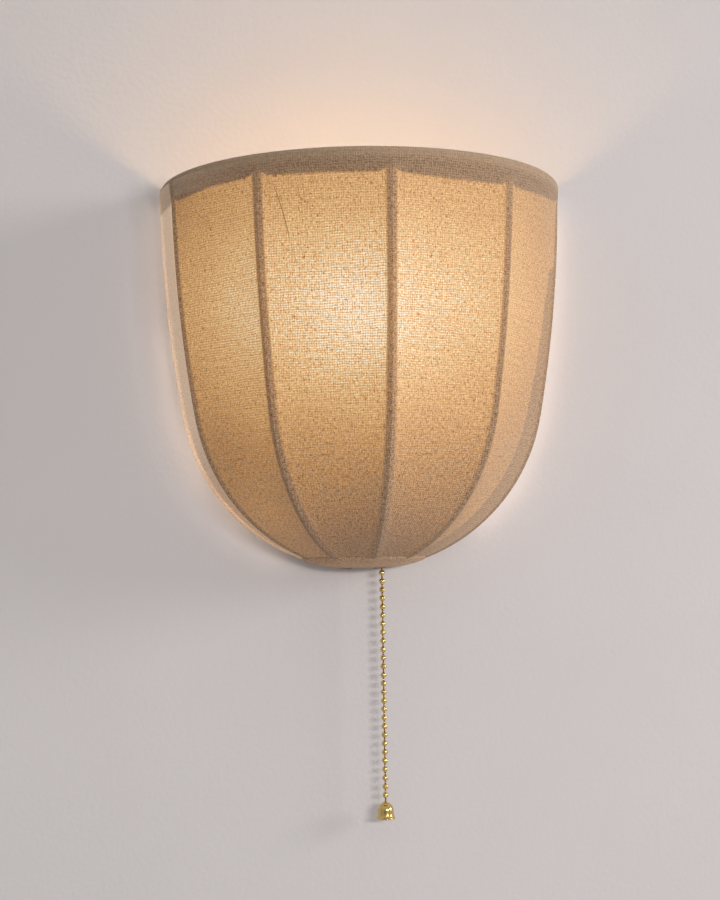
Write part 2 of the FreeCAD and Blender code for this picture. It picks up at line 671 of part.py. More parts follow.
def rounded(sketch, width, height, radius):
    """A rectangle with rounded corners about the sketch's origin, sizes as formulas."""
    w, h, r = size(f"({width}) / 2"), size(f"({height}) / 2"), size(radius)
    lines = [((w, r - h), (w, h - r)), ((w - r, h), (r - w, h)), ((-w, h - r), (-w, r - h)),
             ((r - w, -h), (w - r, -h))]
    centres = [(w - r, h - r), (r - w, h - r), (r - w, r - h), (w - r, r - h)]
    for n in range(4):
        sketch.addGeometry(Part.LineSegment(Vector(*lines[n][0], 0), Vector(*lines[n][1], 0)))
        sketch.addGeometry(arc(centres[n], r, 90 * n, 90 * n + 90))
    for n in range(4):
        tie(sketch, "Tangent", 2 * n, 2, 2 * n + 1, 1)
        tie(sketch, "Tangent", 2 * n + 1, 2, (2 * n + 2) % 8, 1)
        tie(sketch, "Vertical" if n % 2 == 0 else "Horizontal", 2 * n)
    for n in (3, 5, 7):
        tie(sketch, "Equal", 1, n)
    rule(sketch, radius, "Radius", 1)
    rule(sketch, f"({width}) / 2", "DistanceX", -1, 1, 0, 1)
    rule(sketch, f"({height}) / 2", "DistanceY", -1, 1, 2, 1)
    rule(sketch, f"({width}) / 2", "DistanceX", 4, 1, -1, 1)
    rule(sketch, f"({height}) / 2", "DistanceY", 6, 1, -1, 1)


POST = "post_spacing / 2"
LAMP_Y = "-lamp_depth"

canopy = new_body("canopy")
outline = new_sketch(canopy, "XZ_Plane")
rounded(outline, "canopy_width", "canopy_height", "canopy_corner")
canopy_pad = pad(canopy, outline, "canopy_depth")
front = [f"Edge{n}" for n, e in enumerate(canopy.Shape.Edges, start=1)
         if all(abs(v.Y + size("canopy_depth")) < 0.01 for v in e.Vertexes)]
rounding = canopy.newObject("PartDesign::Fillet", "canopy_fillet")
rounding.Base = (canopy_pad, front)
rounding.setExpression("Radius", cell("2 * canopy_wall"))
hollow = new_sketch(canopy, "XZ_Plane")
rounded(hollow, "canopy_width - 2 * canopy_wall", "canopy_height - 2 * canopy_wall",
        "canopy_corner - canopy_wall")
pad(canopy, hollow, "canopy_depth - canopy_wall", "PartDesign::Pocket", reverse=True)
holes = new_sketch(canopy, "XZ_Plane")
add_circle(holes, "0", "-entry_drop", "nipple + 2 * fit_gap")
add_circle(holes, POST, "0", "canopy_screw + 2 * fit_gap")
add_circle(holes, f"-{POST}", "0", "canopy_screw + 2 * fit_gap")
pad(canopy, holes, "2 * canopy_depth", "PartDesign::Pocket", reverse=True)
outlet = new_sketch(canopy, "XY_Plane", "-canopy_height / 2 - canopy_wall")
add_circle(outlet, "chain_side", "-chain_depth", "bush_width + 2 * fit_gap")
pad(canopy, outlet, "3 * canopy_wall", "PartDesign::Pocket", reverse=True)

strap = new_body("mounting_strap")
plan = new_sketch(strap, "XZ_Plane")
rounded(plan, "strap_width", "strap_length", "strap_width / 4")
add_circle(plan, "0", "screw_spacing / 2", "screw_hole")
add_circle(plan, "0", "-screw_spacing / 2", "screw_hole")
add_circle(plan, "-earth_side", "earth_level", "canopy_screw + 2 * fit_gap")
pad(strap, plan, "strap_wall")
for sign in ("", "-"):
    arm = new_sketch(strap, "XZ_Plane")
    add_polygon(arm, box_points(f"{sign}strap_width / 2", f"{sign}arm_length / 2", "-arm_width / 2",
                                "arm_width / 2"))
    pad(strap, arm, "strap_wall")



def slotted_screw(x, seat, level, length):
    """A screw along -Y: its domed, slotted head sits at seat and its shank goes back by length."""
    shank = rod((x, f"{seat} + {length}", level), "canopy_screw", length, "y")
    head = primitive("Ellipsoid", (x, seat, level), ((1, 0, 0), 90), Radius1="screw_head_height",
                     Radius2="screw_head / 2", Radius3="screw_head / 2")
    head.Angle1 = 0
    slot = block((f"{x} - screw_head", f"{seat} - 2 * screw_head_height", f"{level} - screw_slot / 2"),
                 "2 * screw_head", "1.5 * screw_head_height", "screw_slot")
    return cut(fuse(shank, head), slot)


POST_FRONT = "canopy_depth - canopy_wall - weld_gap"
posts, screws = [], []
for sign in ("", "-"):
    side = f"{sign}{POST}"
    post = nut((side, "-strap_wall", "0"), "post_width", f"{POST_FRONT} - strap_wall", "y")
    thread_end = "-canopy_depth + canopy_screw_length + canopy_screw"
    posts.append(cut(post, rod((side, thread_end, "0"), "canopy_screw + 2 * fit_gap", "canopy_depth", "y")))
    screws.append(slotted_screw(side, "-canopy_depth", "0", "canopy_screw_length"))
piece("strap_posts", fuse(*posts))
piece("canopy_screws", fuse(*screws))

bracket = new_body("lamp_bracket")
side = new_sketch(bracket, "YZ_Plane")
FRONT = "-canopy_depth"
SHELF = "-bracket_drop"
END = "-lamp_depth - nut_width"
add_polygon(side, [(FRONT, SHELF), (FRONT, "-entry_drop + nut_width"),
                   (f"{FRONT} - bracket_wall", "-entry_drop + nut_width"),
                   (f"{FRONT} - bracket_wall", f"{SHELF} + bracket_wall"),
                   (END, f"{SHELF} + bracket_wall"), (END, SHELF)])
pad(bracket, side, "bracket_width", both=True)
drill = new_sketch(bracket, "XZ_Plane")
add_circle(drill, "0", "-entry_drop", "nipple + 2 * fit_gap")
pad(bracket, drill, "2 * canopy_depth", "PartDesign::Pocket", reverse=True)
drill = new_sketch(bracket, "XY_Plane", "-bracket_drop - bracket_wall")
add_circle(drill, "0", LAMP_Y, "nipple + 2 * fit_gap")
add_circle(drill, "0", "-lead_depth", "lead_hole")
pad(bracket, drill, "3 * bracket_wall", "PartDesign::Pocket", reverse=True)


def bored(item, at, bore, length, axis):
    """Cut a bore through an item along +Z or -Y; the cut runs past both ends."""
    x, y, z = at
    start = (x, y, f"{z} - overcut") if axis == "z" else (x, f"{y} + overcut", z)
    return cut(item, rod(start, bore, f"{length} + 2 * overcut", axis))


def tube(at, outer, inner, length, axis="z"):
    """A round tube."""
    return bored(rod(at, outer, length, axis), at, inner, length, axis)


def bored_nut(at, width, hole, axis):
    """A hexagon nut with a plain hole that clears what goes through it."""
    return bored(nut(at, width, "nut_height", axis), at, f"{hole} + 2 * fit_gap", "nut_height", axis)


def nipple_nut(at, axis):
    """A nut on a nipple."""
    return bored_nut(at, "nut_width", "nipple", axis)


ENTRY = "-entry_drop"
piece("entry_nipple", tube(("0", "canopy_wall + nut_height + nipple_end - canopy_depth", ENTRY), "nipple",
                           "nipple_bore", "canopy_wall + bracket_wall + 2 * (nut_height + nipple_end)", "y"))
piece("entry_nuts", fuse(nipple_nut(("0", "canopy_wall + nut_height - canopy_depth", ENTRY), "y"),
                         nipple_nut(("0", "-canopy_front", ENTRY), "y")))
piece("holder_nipple", tube(("0", LAMP_Y, "-bracket_drop - nut_height - nipple_end"), "nipple", "nipple_bore",
                            "2 * bracket_wall + 2 * nut_height + nipple_end"))
piece("holder_nut", nipple_nut(("0", LAMP_Y, "-bracket_drop - nut_height"), "z"))

BLOCK_FOOT = "block_level - block_height / 2"
housing = block(("-block_width / 2", "-strap_wall - block_depth", BLOCK_FOOT), "block_width", "block_depth",
                "block_height")
ways, pins = [], []
for way in (-1, 0, 1):
    x = f"{way} * block_pitch"
    middle = "-strap_wall - block_depth / 2"
    ways.append(rod((x, middle, f"{BLOCK_FOOT} - overcut"), "block_bore", "block_height + 2 * overcut"))
    for row in (-1, 1):
        level = f"block_level + {row} * block_height / 4"
        face = f"{middle} - block_bore / 2"
        ways.append(rod((x, face, level), "block_bore + 2 * fit_gap", "block_depth", "y"))
        pins.append(rod((x, f"{face} - fit_gap", level), "block_bore", "block_depth / 4", "y"))
piece("terminal_block", cut(housing, *ways))
piece("terminal_screws", fuse(*pins))

piece("earth_screw", slotted_screw("-earth_side", "-strap_wall", "earth_level", "strap_wall"))


# ------------------------------------------------------------------ lamp holder and bulb

LAMP = ("0", LAMP_Y, "0")
SKIRT, BORE = "holder_width / 2", "holder_width / 2 - holder_wall"
COLLAR = "-fitter_drop - fitter_wall / 2 - weld_gap"
turned("holder_skirt", LAMP, [
    (BORE, "holder_joint"), (SKIRT, "holder_joint"), (SKIRT, f"{COLLAR} - collar_height"),
    ("collar_width / 2", f"{COLLAR} - collar_height"), ("collar_width / 2", COLLAR), (SKIRT, COLLAR),
    (SKIRT, "holder_top"), (BORE, "holder_top")])
SEAT = "fitter_wall / 2 - fitter_drop"
RING_BORE = f"{SKIRT} + fit_gap"
turned("shade_ring", LAMP, [
    (RING_BORE, f"{SEAT} + weld_gap"), ("ring_width / 2", f"{SEAT} + weld_gap"),
    ("ring_width / 2", f"{SEAT} + ring_grip"), (f"{SKIRT} + holder_wall", f"{SEAT} + ring_height"),
    (RING_BORE, f"{SEAT} + ring_height")])
BASE_FOOT = "bracket_wall - bracket_drop + weld_gap"
BASE_FLOOR = f"{BASE_FOOT} + 2 * nut_height"
BASE_HOLE = "nipple / 2 + fit_gap"
turned("holder_base", LAMP, [
    (BASE_HOLE, BASE_FOOT), (BORE, BASE_FOOT), (SKIRT, f"{BASE_FOOT} + holder_wall"),
    (SKIRT, "holder_joint - weld_gap"), (BORE, "holder_joint - weld_gap"), (BORE, BASE_FLOOR),
    (BASE_HOLE, BASE_FLOOR)])
STEM = "bulb_foot - holder_wall"
INSERT = f"{BORE} - fit_gap"
INSERT_FOOT = "holder_joint + holder_wall"
turned("holder_insert", LAMP, [("0", INSERT_FOOT), (INSERT, INSERT_FOOT), (INSERT, STEM), ("0", STEM)])
SHELL = "cap_width / 2 + shell_wall / 2"
SHELL_FOOT, SHELL_TOP = f"{STEM} + weld_gap", "holder_top - holder_wall"
FLANGE = f"{BORE} - holder_wall"
turned("screw_shell", LAMP, [
    (SHELL, SHELL_FOOT), (FLANGE, SHELL_FOOT), (FLANGE, f"{SHELL_FOOT} + shell_wall"),
    (f"{SHELL} + shell_wall", f"{SHELL_FOOT} + shell_wall"), (f"{SHELL} + shell_wall", SHELL_TOP),
    (SHELL, SHELL_TOP)])
CONTACT_TOP = "bulb_foot - 2 * weld_gap"
turned("centre_contact", LAMP, [("0", SHELL_FOOT), ("canopy_screw / 2", SHELL_FOOT),
                                ("canopy_screw / 2", CONTACT_TOP), ("0", CONTACT_TOP)])

TIP_TOP = "bulb_foot + tip_height"
CAP_FOOT = f"{TIP_TOP} + insulator_height"
CAP_TOP = f"{CAP_FOOT} + cap_height"
CAP_FLOOR = f"{CAP_FOOT} + cap_floor"
ROOT = "cap_width / 2 - thread_depth"
CAP_BORE = f"{ROOT} - glass_wall"
turned("bulb_tip", LAMP, [("0", "bulb_foot"), ("tip_width / 2 - tip_bevel", "bulb_foot"),
                          ("tip_width / 2", TIP_TOP), ("0", TIP_TOP)])
turned("bulb_insulator", LAMP, [("0", TIP_TOP), ("tip_width / 2", TIP_TOP),
                                ("cap_width / 2 - cap_floor", CAP_FOOT), ("0", CAP_FOOT)])
TURNS = int(size("thread_turns"))
thread = [("0", CAP_FOOT)]
for turn_up in range(TURNS):
    thread += [(ROOT, f"{CAP_FOOT} + {turn_up} * thread_pitch"),
               ("cap_width / 2", f"{CAP_FOOT} + {turn_up} * thread_pitch + thread_pitch / 2")]
thread += [(ROOT, f"{CAP_FOOT} + {TURNS} * thread_pitch"), (ROOT, CAP_TOP), (CAP_BORE, CAP_TOP),
           (CAP_BORE, CAP_FLOOR), ("0", CAP_FLOOR)]
turned("bulb_cap", LAMP, thread)

globe = new_body("bulb_glass", LAMP)
neck = new_sketch(globe, "XZ_Plane")
NECK_FOOT = f"{CAP_TOP} + weld_gap"
foot_r, foot_z, mid = size(ROOT), size(NECK_FOOT), size("bulb_level")
for ring, radius in ((0, size("bulb_width") / 2), (1, size("bulb_width") / 2 - size("glass_wall"))):
    reach = foot_r - ring * size("glass_wall")
    far = math.hypot(reach, mid - foot_z)
    low = math.acos(radius / far) - math.atan2(mid - foot_z, reach)
    neck.addGeometry(arc((0, mid), radius, math.degrees(low), 90))
for ring in (0, 1):
    end = neck.Geometry[ring].StartPoint
    reach = foot_r - ring * size("glass_wall")
    neck.addGeometry(Part.LineSegment(Vector(reach, foot_z, 0), end))
neck.addGeometry(Part.LineSegment(Vector(foot_r - size("glass_wall"), foot_z, 0), Vector(foot_r, foot_z, 0)))
neck.addGeometry(Part.LineSegment(neck.Geometry[1].EndPoint, neck.Geometry[0].EndPoint))
for ring in (0, 1):
    tie(neck, "Tangent", 2 + ring, 2, ring, 1)
tie(neck, "Coincident", 4, 1, 3, 1)
tie(neck, "Coincident", 4, 2, 2, 1)
tie(neck, "Coincident", 5, 1, 1, 2)
tie(neck, "Coincident", 5, 2, 0, 2)
tie(neck, "Coincident", 0, 3, 1, 3)
tie(neck, "PointOnObject", 0, 3, -2)
tie(neck, "PointOnObject", 5, 1, -2)
tie(neck, "PointOnObject", 5, 2, -2)
tie(neck, "Horizontal", 4)
rule(neck, "bulb_level", "DistanceY", -1, 1, 0, 3)
rule(neck, "bulb_width / 2", "Radius", 0)
rule(neck, "bulb_width / 2 - glass_wall", "Radius", 1)
rule(neck, ROOT, "DistanceX", -1, 1, 4, 2)
rule(neck, f"{ROOT} - glass_wall", "DistanceX", -1, 1, 4, 1)
if size(NECK_FOOT) < 0:
    rule(neck, f"-({NECK_FOOT})", "DistanceY", 4, 2, -1, 1)
else:
    rule(neck, NECK_FOOT, "DistanceY", -1, 1, 4, 2)
spin(globe, neck)

STEM_TOP = "bulb_level - bulb_width / 4"
turned("bulb_stem", LAMP, [("0", f"{CAP_FLOOR} + weld_gap"), ("cap_width / 4", f"{CAP_FLOOR} + weld_gap"),
                           ("filament", STEM_TOP), ("0", STEM_TOP)])
SPIDER = f"{STEM_TOP} + filament / 4 + weld_gap"
sticks = [rod(("-filament_ring", "-lamp_depth", SPIDER), "filament / 2", "2 * filament_ring", "x"),
          rod(("0", "-lamp_depth + filament_ring", SPIDER), "filament / 2", "2 * filament_ring", "y")]
for x, y in (("filament_ring", "0"), ("-filament_ring", "0"), ("0", "filament_ring"),
             ("0", "-filament_ring")):
    sticks.append(rod((x, f"{y} - lamp_depth", SPIDER), "filament", "filament_length"))
piece("bulb_filaments", fuse(*sticks))


# ------------------------------------------------------------------ pull switch

CHAIN = ("chain_side", "-chain_depth", "0")
TOP = "switch_foot + switch_height"
FLOOR = "switch_foot + switch_wall"
HUB = "bush_width / 2 + fit_gap"
DRUM_X = "chain_side - drum_radius"
housing = new_body("switch_housing", CHAIN)
outline = new_sketch(housing, "XZ_Plane")
add_polygon(outline, [(HUB, "switch_foot"), ("switch_width / 2", "switch_foot"), ("switch_width / 2", TOP),
            ("switch_width / 2 - switch_wall", TOP), ("switch_width / 2 - switch_wall", FLOOR), (HUB, FLOOR)])
spin(housing, outline)
drill = new_sketch(housing, "XZ_Plane")
add_circle(drill, "-drum_radius", "drum_level", "axle + 2 * fit_gap")
pad(housing, drill, "2 * switch_width", "PartDesign::Pocket", both=True)

cover = new_body("switch_cover", CHAIN)
plan = new_sketch(cover, "XY_Plane", TOP)
add_circle(plan, "0", "0", "switch_width")
pad(cover, plan, "switch_wall")
drill = new_sketch(cover, "XY_Plane", f"{TOP} - switch_wall")
for sign in ("", "-"):
    add_circle(drill, f"{sign}drum_radius", "0", "lead + 2 * fit_gap")
pad(cover, drill, "3 * switch_wall", "PartDesign::Pocket", reverse=True)

BUSH_FOOT, BUSH_TOP = "-canopy_height / 2 - bush_length", f"{FLOOR} + bush_flange"
turned("switch_bush", CHAIN, [
    ("bush_bore / 2", BUSH_FOOT), ("bush_width / 2", BUSH_FOOT), ("bush_width / 2", f"{FLOOR} + weld_gap"),
    ("bush_width / 2 + switch_wall", f"{FLOOR} + weld_gap"), ("bush_width / 2 + switch_wall", BUSH_TOP),
    ("bush_bore / 2", BUSH_TOP)])
NUT_FOOT = "-canopy_height / 2 - nut_height"
piece("switch_nut", bored_nut(("chain_side", "-chain_depth", NUT_FOOT), "bush_nut", "bush_width", "z"))
piece("switch_axle", rod((DRUM_X, "-chain_depth + switch_width / 2 - axle_inset", "drum_level"), "axle",
                         "switch_width - 2 * axle_inset", "y"))
ends = [rod((DRUM_X, y, "drum_level"), "2 * (drum_radius + drum_lip)", "drum_flange", "y")
        for y in ("-chain_depth + drum_wide / 2", "-chain_depth - drum_wide / 2 + drum_flange")]
core = rod((DRUM_X, "-chain_depth + drum_wide / 2", "drum_level"), "2 * (drum_radius - drum_clear) - bead",
           "drum_wide", "y")
bore = rod((DRUM_X, "0", "drum_level"), "axle + 2 * fit_gap", "2 * switch_width", "y")
piece("switch_drum", cut(fuse(core, *ends), bore))


# ------------------------------------------------------------------ chain and bell

def beads(label, top, foot, first, count):
    """A length of bead chain: one run of link between two levels, with beads from the level first down."""
    run = rod(("chain_side", "-chain_depth", foot), "bead_link", f"{top} - ({foot})")
    balls = [primitive("Sphere", ("chain_side", "-chain_depth", f"{first} - {n} * bead_pitch"),
                       Radius="bead / 2") for n in range(count)]
    piece(label, fuse(run, *balls))


KNOT = "bead / 2 + swivel_gap"
beads("chain_upper", "drum_level", f"-swivel_drop + {KNOT}", "drum_level - bead_pitch / 2",
      int(size("upper_bead_count")))
piece("swivel_bead", primitive("Sphere", ("chain_side", "-chain_depth", "-swivel_drop"), Radius="bead / 2"))
beads("chain_lower", f"-swivel_drop - ({KNOT})", "chain_end", "-swivel_drop - bead_pitch",
      int(size("lower_bead_count")))
BELL = "chain_end - bell_drop"
HOOK = f"{BELL} - bell_wall - bead / 2 - weld_gap"
beads("bell_bead", "chain_end - weld_gap", HOOK, HOOK, 1)

bell = new_body("chain_bell", CHAIN)
outline = new_sketch(bell, "XZ_Plane")
HOLE = "bead_link / 2 + 2 * weld_gap"
top, big, lip = size(BELL), size("bell_dome / 2"), size("bell_width / 2")
wall, tall, hole = size("bell_wall"), size("bell_height"), size(HOLE)
middle = top - big
for radius in (big, big - wall):
    outline.addGeometry(arc((0, middle), radius, 0, math.degrees(math.acos(hole / radius))))
tips = [outline.Geometry[n].EndPoint for n in (0, 1)]
waist = top - tall + size("bell_skirt")
outline.addGeometry(Part.LineSegment(tips[0], tips[1]))
path = [(big, middle), (big, waist), (lip, top - tall + wall), (lip, top - tall), (lip - wall, top - tall),
        (big - wall, waist), (big - wall, middle)]
for a, b in zip(path, path[1:]):
    outline.addGeometry(Part.LineSegment(Vector(*a, 0), Vector(*b, 0)))
tie(outline, "Coincident", 0, 2, 2, 1)
tie(outline, "Coincident", 2, 2, 1, 2)
tie(outline, "Coincident", 0, 1, 3, 1)
for n in range(3, 8):
    tie(outline, "Coincident", n, 2, n + 1, 1)
tie(outline, "Coincident", 8, 2, 1, 1)
tie(outline, "Coincident", 0, 3, 1, 3)
tie(outline, "PointOnObject", 0, 3, -2)
tie(outline, "Horizontal", 0, 3, 0, 1)
tie(outline, "Horizontal", 1, 3, 1, 1)
for n in (2, 3, 5, 8):
    tie(outline, "Vertical", n)
tie(outline, "Horizontal", 6)
tie(outline, "Horizontal", 3, 2, 7, 2)
rule(outline, "bell_dome / 2", "Radius", 0)
rule(outline, "bell_dome / 2 - bell_wall", "Radius", 1)
rule(outline, f"-({BELL} - bell_dome / 2)", "DistanceY", 0, 3, -1, 1)
rule(outline, HOLE, "DistanceX", -1, 1, 2, 1)
rule(outline, "bell_width / 2", "DistanceX", -1, 1, 5, 2)
rule(outline, "bell_width / 2 - bell_wall", "DistanceX", -1, 1, 6, 2)
rule(outline, f"-({BELL} - bell_height + bell_skirt)", "DistanceY", 3, 2, -1, 1)
rule(outline, "bell_wall", "DistanceY", 5, 2, 5, 1)
rule(outline, f"-({BELL} - bell_height)", "DistanceY", 5, 2, -1, 1)
spin(bell, outline)


# ------------------------------------------------------------------ leads

def lead_run(points):
    """A solid lead through points (x, y, z, bend radius of the corner there)."""
    spots = [Vector(*(size(f) for f in p[:3])) for p in points]
    edges, start = [], spots[0]
    for n in range(1, len(spots) - 1):
        corner, bend = spots[n], size(points[n][3])
        a, b = (spots[n - 1] - corner).normalize(), (spots[n + 1] - corner).normalize()
        half = a.getAngle(b) / 2
        p, q = (corner + way * (bend / math.tan(half)) for way in (a, b))
        middle = corner + (a + b).normalize() * (bend / math.sin(half) - bend)
        edges += [Part.LineSegment(start, p).toShape(), Part.Arc(p, middle, q).toShape()]
        start = q
    edges.append(Part.LineSegment(start, spots[-1]).toShape())
    ring = Part.Circle(spots[0], spots[1] - spots[0], size("lead / 2")).toShape()
    return Part.Wire(edges).makePipeShell([Part.Wire([ring])], True, False)


WAY = ("-strap_wall - block_depth / 2", "block_level - block_height / 4")
INTO_HOLDER = [("-lead_depth", ENTRY, "lead_bend"), ("-lead_depth", "loop_level", "lead_loop"),
               (LAMP_Y, "loop_level", "lead_loop"), (LAMP_Y, f"{INSERT_FOOT} - weld_gap", "0")]
SWITCH_LEFT, SWITCH_RIGHT = "chain_side - drum_radius", "chain_side + drum_radius"
SWITCH_TOP = f"{TOP} - lead_entry"
neutral = [("-block_pitch", *WAY, "0"), ("-block_pitch", WAY[0], "0", "lead_bend"),
           ("-lead_side", "-chain_depth", ENTRY, "lead_bend")]
neutral += [("-lead_side", *spot) for spot in INTO_HOLDER]
switched = [(SWITCH_LEFT, "-chain_depth", SWITCH_TOP, "0"), (SWITCH_LEFT, "-chain_depth", ENTRY, "lead_bend"),
            ("lead_side", "-chain_depth - lead_step", ENTRY, "lead_bend")]
switched += [("lead_side", *spot) for spot in INTO_HOLDER]
live = [("block_pitch", *WAY, "0"), ("block_pitch", WAY[0], "0", "lead_bend"),
        (SWITCH_RIGHT, "-chain_depth", ENTRY, "lead_bend"), (SWITCH_RIGHT, "-chain_depth", SWITCH_TOP, "0")]
shaped("leads", Part.Compound([lead_run(run) for run in (neutral, switched, live)]))


# ------------------------------------------------------------------ checks and export

def check_and_export():
    """Stop if any object failed, then write each sub-part to parts/NODE.step."""
    doc.recompute()
    broken = [o.Label for o in doc.Objects if {"Invalid", "Error"} & set(o.State)]
    broken += [p.Label for p in parts if p.Shape.isNull() or not p.Shape.isValid() or not p.Shape.Solids]
    if broken:
        raise SystemExit(f"failed: {broken}")
    os.makedirs("parts", exist_ok=True)
    for item in parts:
        item.Shape.exportStep(f"parts/{item.Label}.step")
        print(f"{item.Label:20s} {len(item.Shape.Solids):3d} solids {item.Shape.Volume:10.1f} mm3")


check_and_export()
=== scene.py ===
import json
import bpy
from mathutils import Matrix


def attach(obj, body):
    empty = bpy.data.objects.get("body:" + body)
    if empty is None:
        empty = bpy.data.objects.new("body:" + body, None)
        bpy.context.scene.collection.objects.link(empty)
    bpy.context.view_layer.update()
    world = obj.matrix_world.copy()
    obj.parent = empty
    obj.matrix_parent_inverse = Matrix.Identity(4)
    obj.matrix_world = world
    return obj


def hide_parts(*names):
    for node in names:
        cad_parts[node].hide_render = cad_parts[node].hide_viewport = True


bl_info = {
    "name": "Linen half-dome wall light",
    "version": (1, 0, 0),
    "blender": (4, 5, 0),
    "location": "View3D > Sidebar > Wall Light",
    "description": "Dresses the packed frame of a linen wall light with a pull chain",
    "category": "Object",
}

from functools import partial
from math import acos, asin, atan2, copysign, cos, degrees, hypot, pi, radians, sin, sqrt

import bpy
import bmesh
import numpy as np
from bpy.props import FloatProperty, FloatVectorProperty, IntProperty, PointerProperty
from bpy.types import Operator, Panel, PropertyGroup
from mathutils import Matrix, Vector

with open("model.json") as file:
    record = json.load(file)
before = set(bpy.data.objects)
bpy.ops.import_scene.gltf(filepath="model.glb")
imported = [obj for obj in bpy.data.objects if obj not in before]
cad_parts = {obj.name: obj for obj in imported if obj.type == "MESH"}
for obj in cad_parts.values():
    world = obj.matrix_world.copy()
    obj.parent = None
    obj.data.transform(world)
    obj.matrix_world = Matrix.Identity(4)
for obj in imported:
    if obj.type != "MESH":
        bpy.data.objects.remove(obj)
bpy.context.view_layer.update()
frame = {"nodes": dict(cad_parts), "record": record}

MM = 0.001
UP = np.array([0, 0, 1.0])

# The frame's lines in millimetres and degrees, as in the part's own sheet of sizes: the dome, the side's bow
# above it, the rim, the depths of the shade's axis and of the back wire, and where the cloth ends.
DOME = 95.0
SIDE = 680.0
SHOULDER = 17.5
RIM_LEVEL = 105.0
AXIS_DEPTH = 10.0
BACK_DEPTH = 4.0
WALL_END = 2.5
RIB_ANGLE = 36.5
SAG = 2.5
BOW_X = (SIDE - DOME) * sqrt(DOME ** 2 - SHOULDER ** 2) / DOME
BOW_Z = (SIDE - DOME) * SHOULDER / DOME
RIM = sqrt(SIDE ** 2 - (RIM_LEVEL - BOW_Z) ** 2) - BOW_X
LEAN = asin(SHOULDER / DOME)
TOP_TURN = asin((RIM_LEVEL - BOW_Z) / SIDE)
BOW_RUN = SIDE * (LEAN + TOP_TURN)
RIB_GAP = 2 * RIM * sin(radians(RIB_ANGLE) / 2)
# Radii of the cloth rolled over the rim wire and the back wire, and of the pressed plate at the pole.
RIM_ROLL = 2.65
EDGE_ROLL = 2.1
PLATE = 18
# The bulb's centre, the chain's place, and the levels of its turning bead, its drum, its end and its bell.
LAMP_DEPTH = 55.0
BULB_LEVEL = 30.0
CHAIN = (9.0, -12.0)
BEAD_PITCH = 4.55
BEADS_INSIDE = 13
BEADS_BELOW = 26
SWIVEL_LEVEL = -99.4
DRUM_LEVEL = SWIVEL_LEVEL + (BEADS_INSIDE + 0.5) * BEAD_PITCH
CHAIN_END = SWIVEL_LEVEL - (BEADS_BELOW + 0.5) * BEAD_PITCH
BELL_TOP = CHAIN_END - 1.1
# Points closer than this, in millimetres, are one.
SAME_POINT = 0.001
# How much deeper than the mean the hem is turned in, in millimetres, at the left wall edge, midway to the
# first rib, at that rib and so on to the right wall edge.
HEM_WANDER = (0.5, 1.0, 1.5, -1.0, -1.4, -0.8, -0.2, 1.4, 1.2, 0.2, -2.0, -2.0, -1.0)
# Width of the band beside the last rib on the right that takes the doubled hem's painted shade, by level,
# both in millimetres.
SHADE_BAND_LEVELS = (-90, -70, -45, -20, 10, 45, 60, 66)
SHADE_BAND_WIDTHS = (22, 17.5, 16, 14.3, 11.4, 9.2, 7.4, -4)
# Light through the front of the cloth, 0 to 1, by level in millimetres, and what is added low on its sides.
GLOW_LEVELS = (-97, -80, -62, -40, -20, 0, 20, 40, 60, 80, 96, 104)
GLOW = (0.03, 0.07, 0.165, 0.29, 0.43, 0.57, 0.68, 0.71, 0.64, 0.50, 0.42, 0.15)
LOW_LEVELS = (-98, -88, -68, -35)
LOW_GLOW = (0, 0.06, 0.08, 0)
# Corners of the strips of light that slip out beside the wall edges, by level and reach in millimetres, and the
# share of each strip from the lowest up, on the left (-1) and on the right (1).
LEAK_LEVELS = (-91.5, -76, -52, -18, 30, 104)
LEAK_REACH = (42.5, 63, 85.5, 99.3, 106.5, 111)
LEAK_SHARE = {-1: (0.6, 1.1, 1.6, 1.4, 1.0), 1: (0.0, 1.0, 1.0, 1.0, 1.0)}
# What a point of linen knows: its painted light from the bulb and from the room, 0 to 1; how far it is from a
# rib and inside doubled cloth, in millimetres; and its share of the plate's painted shade and of the painted
# highlight on the rim's crest, 0 to 1.
FAR = 99.0
CLOTH_VALUES = {"glow": 0.0, "pale": 0.0, "from_rib": FAR, "double": -10.0, "plate": 0.0, "crest": 0.0}
ALL_DOUBLE = 10.0
# Colours that light takes on its way through the linen, from none to full.
GLOW_COLOURS = ((0.0, (0, 0, 0, 1)), (0.12, (0.10, 0.036, 0.002, 1)), (0.30, (0.29, 0.13, 0.022, 1)),
                (0.45, (0.43, 0.22, 0.066, 1)), (0.60, (0.53, 0.32, 0.11, 1)), (0.72, (0.58, 0.40, 0.18, 1)),
                (0.88, (0.66, 0.56, 0.40, 1)), (1.0, (0.80, 0.72, 0.60, 1)))
BLACK = (0, 0, 0, 1)
FLECK_LIGHT = (1.0, 0.70, 0.38, 1.0)
ROOM_LIGHT = (0.60, 0.45, 0.33, 1)
FLOOR_LEVEL = -0.75


def linear(code):
    """Turn an sRGB hex colour into linear red, green, blue and an alpha of 1."""
    values = [int(code[n:n + 2], 16) / 255 for n in (1, 3, 5)]
    return tuple(v / 12.92 if v <= 0.04045 else ((v + 0.055) / 1.055) ** 2.4 for v in values) + (1.0,)


def tint(name, code):
    """A colour property whose default is an sRGB hex colour."""
    return FloatVectorProperty(name=name, description=f"{name}, linear", subtype="COLOR", size=4, min=0, max=1,
                               default=linear(code))


def amount(name, value, description, unit="NONE"):
    """A property that holds a number of a unit, from 0 up."""
    return FloatProperty(name=name, description=description, default=value, min=0, unit=unit, precision=5)


def length(name, value, description):
    """A length property whose default is in millimetres."""
    return amount(name, value * MM, description, "LENGTH")


# --- settings

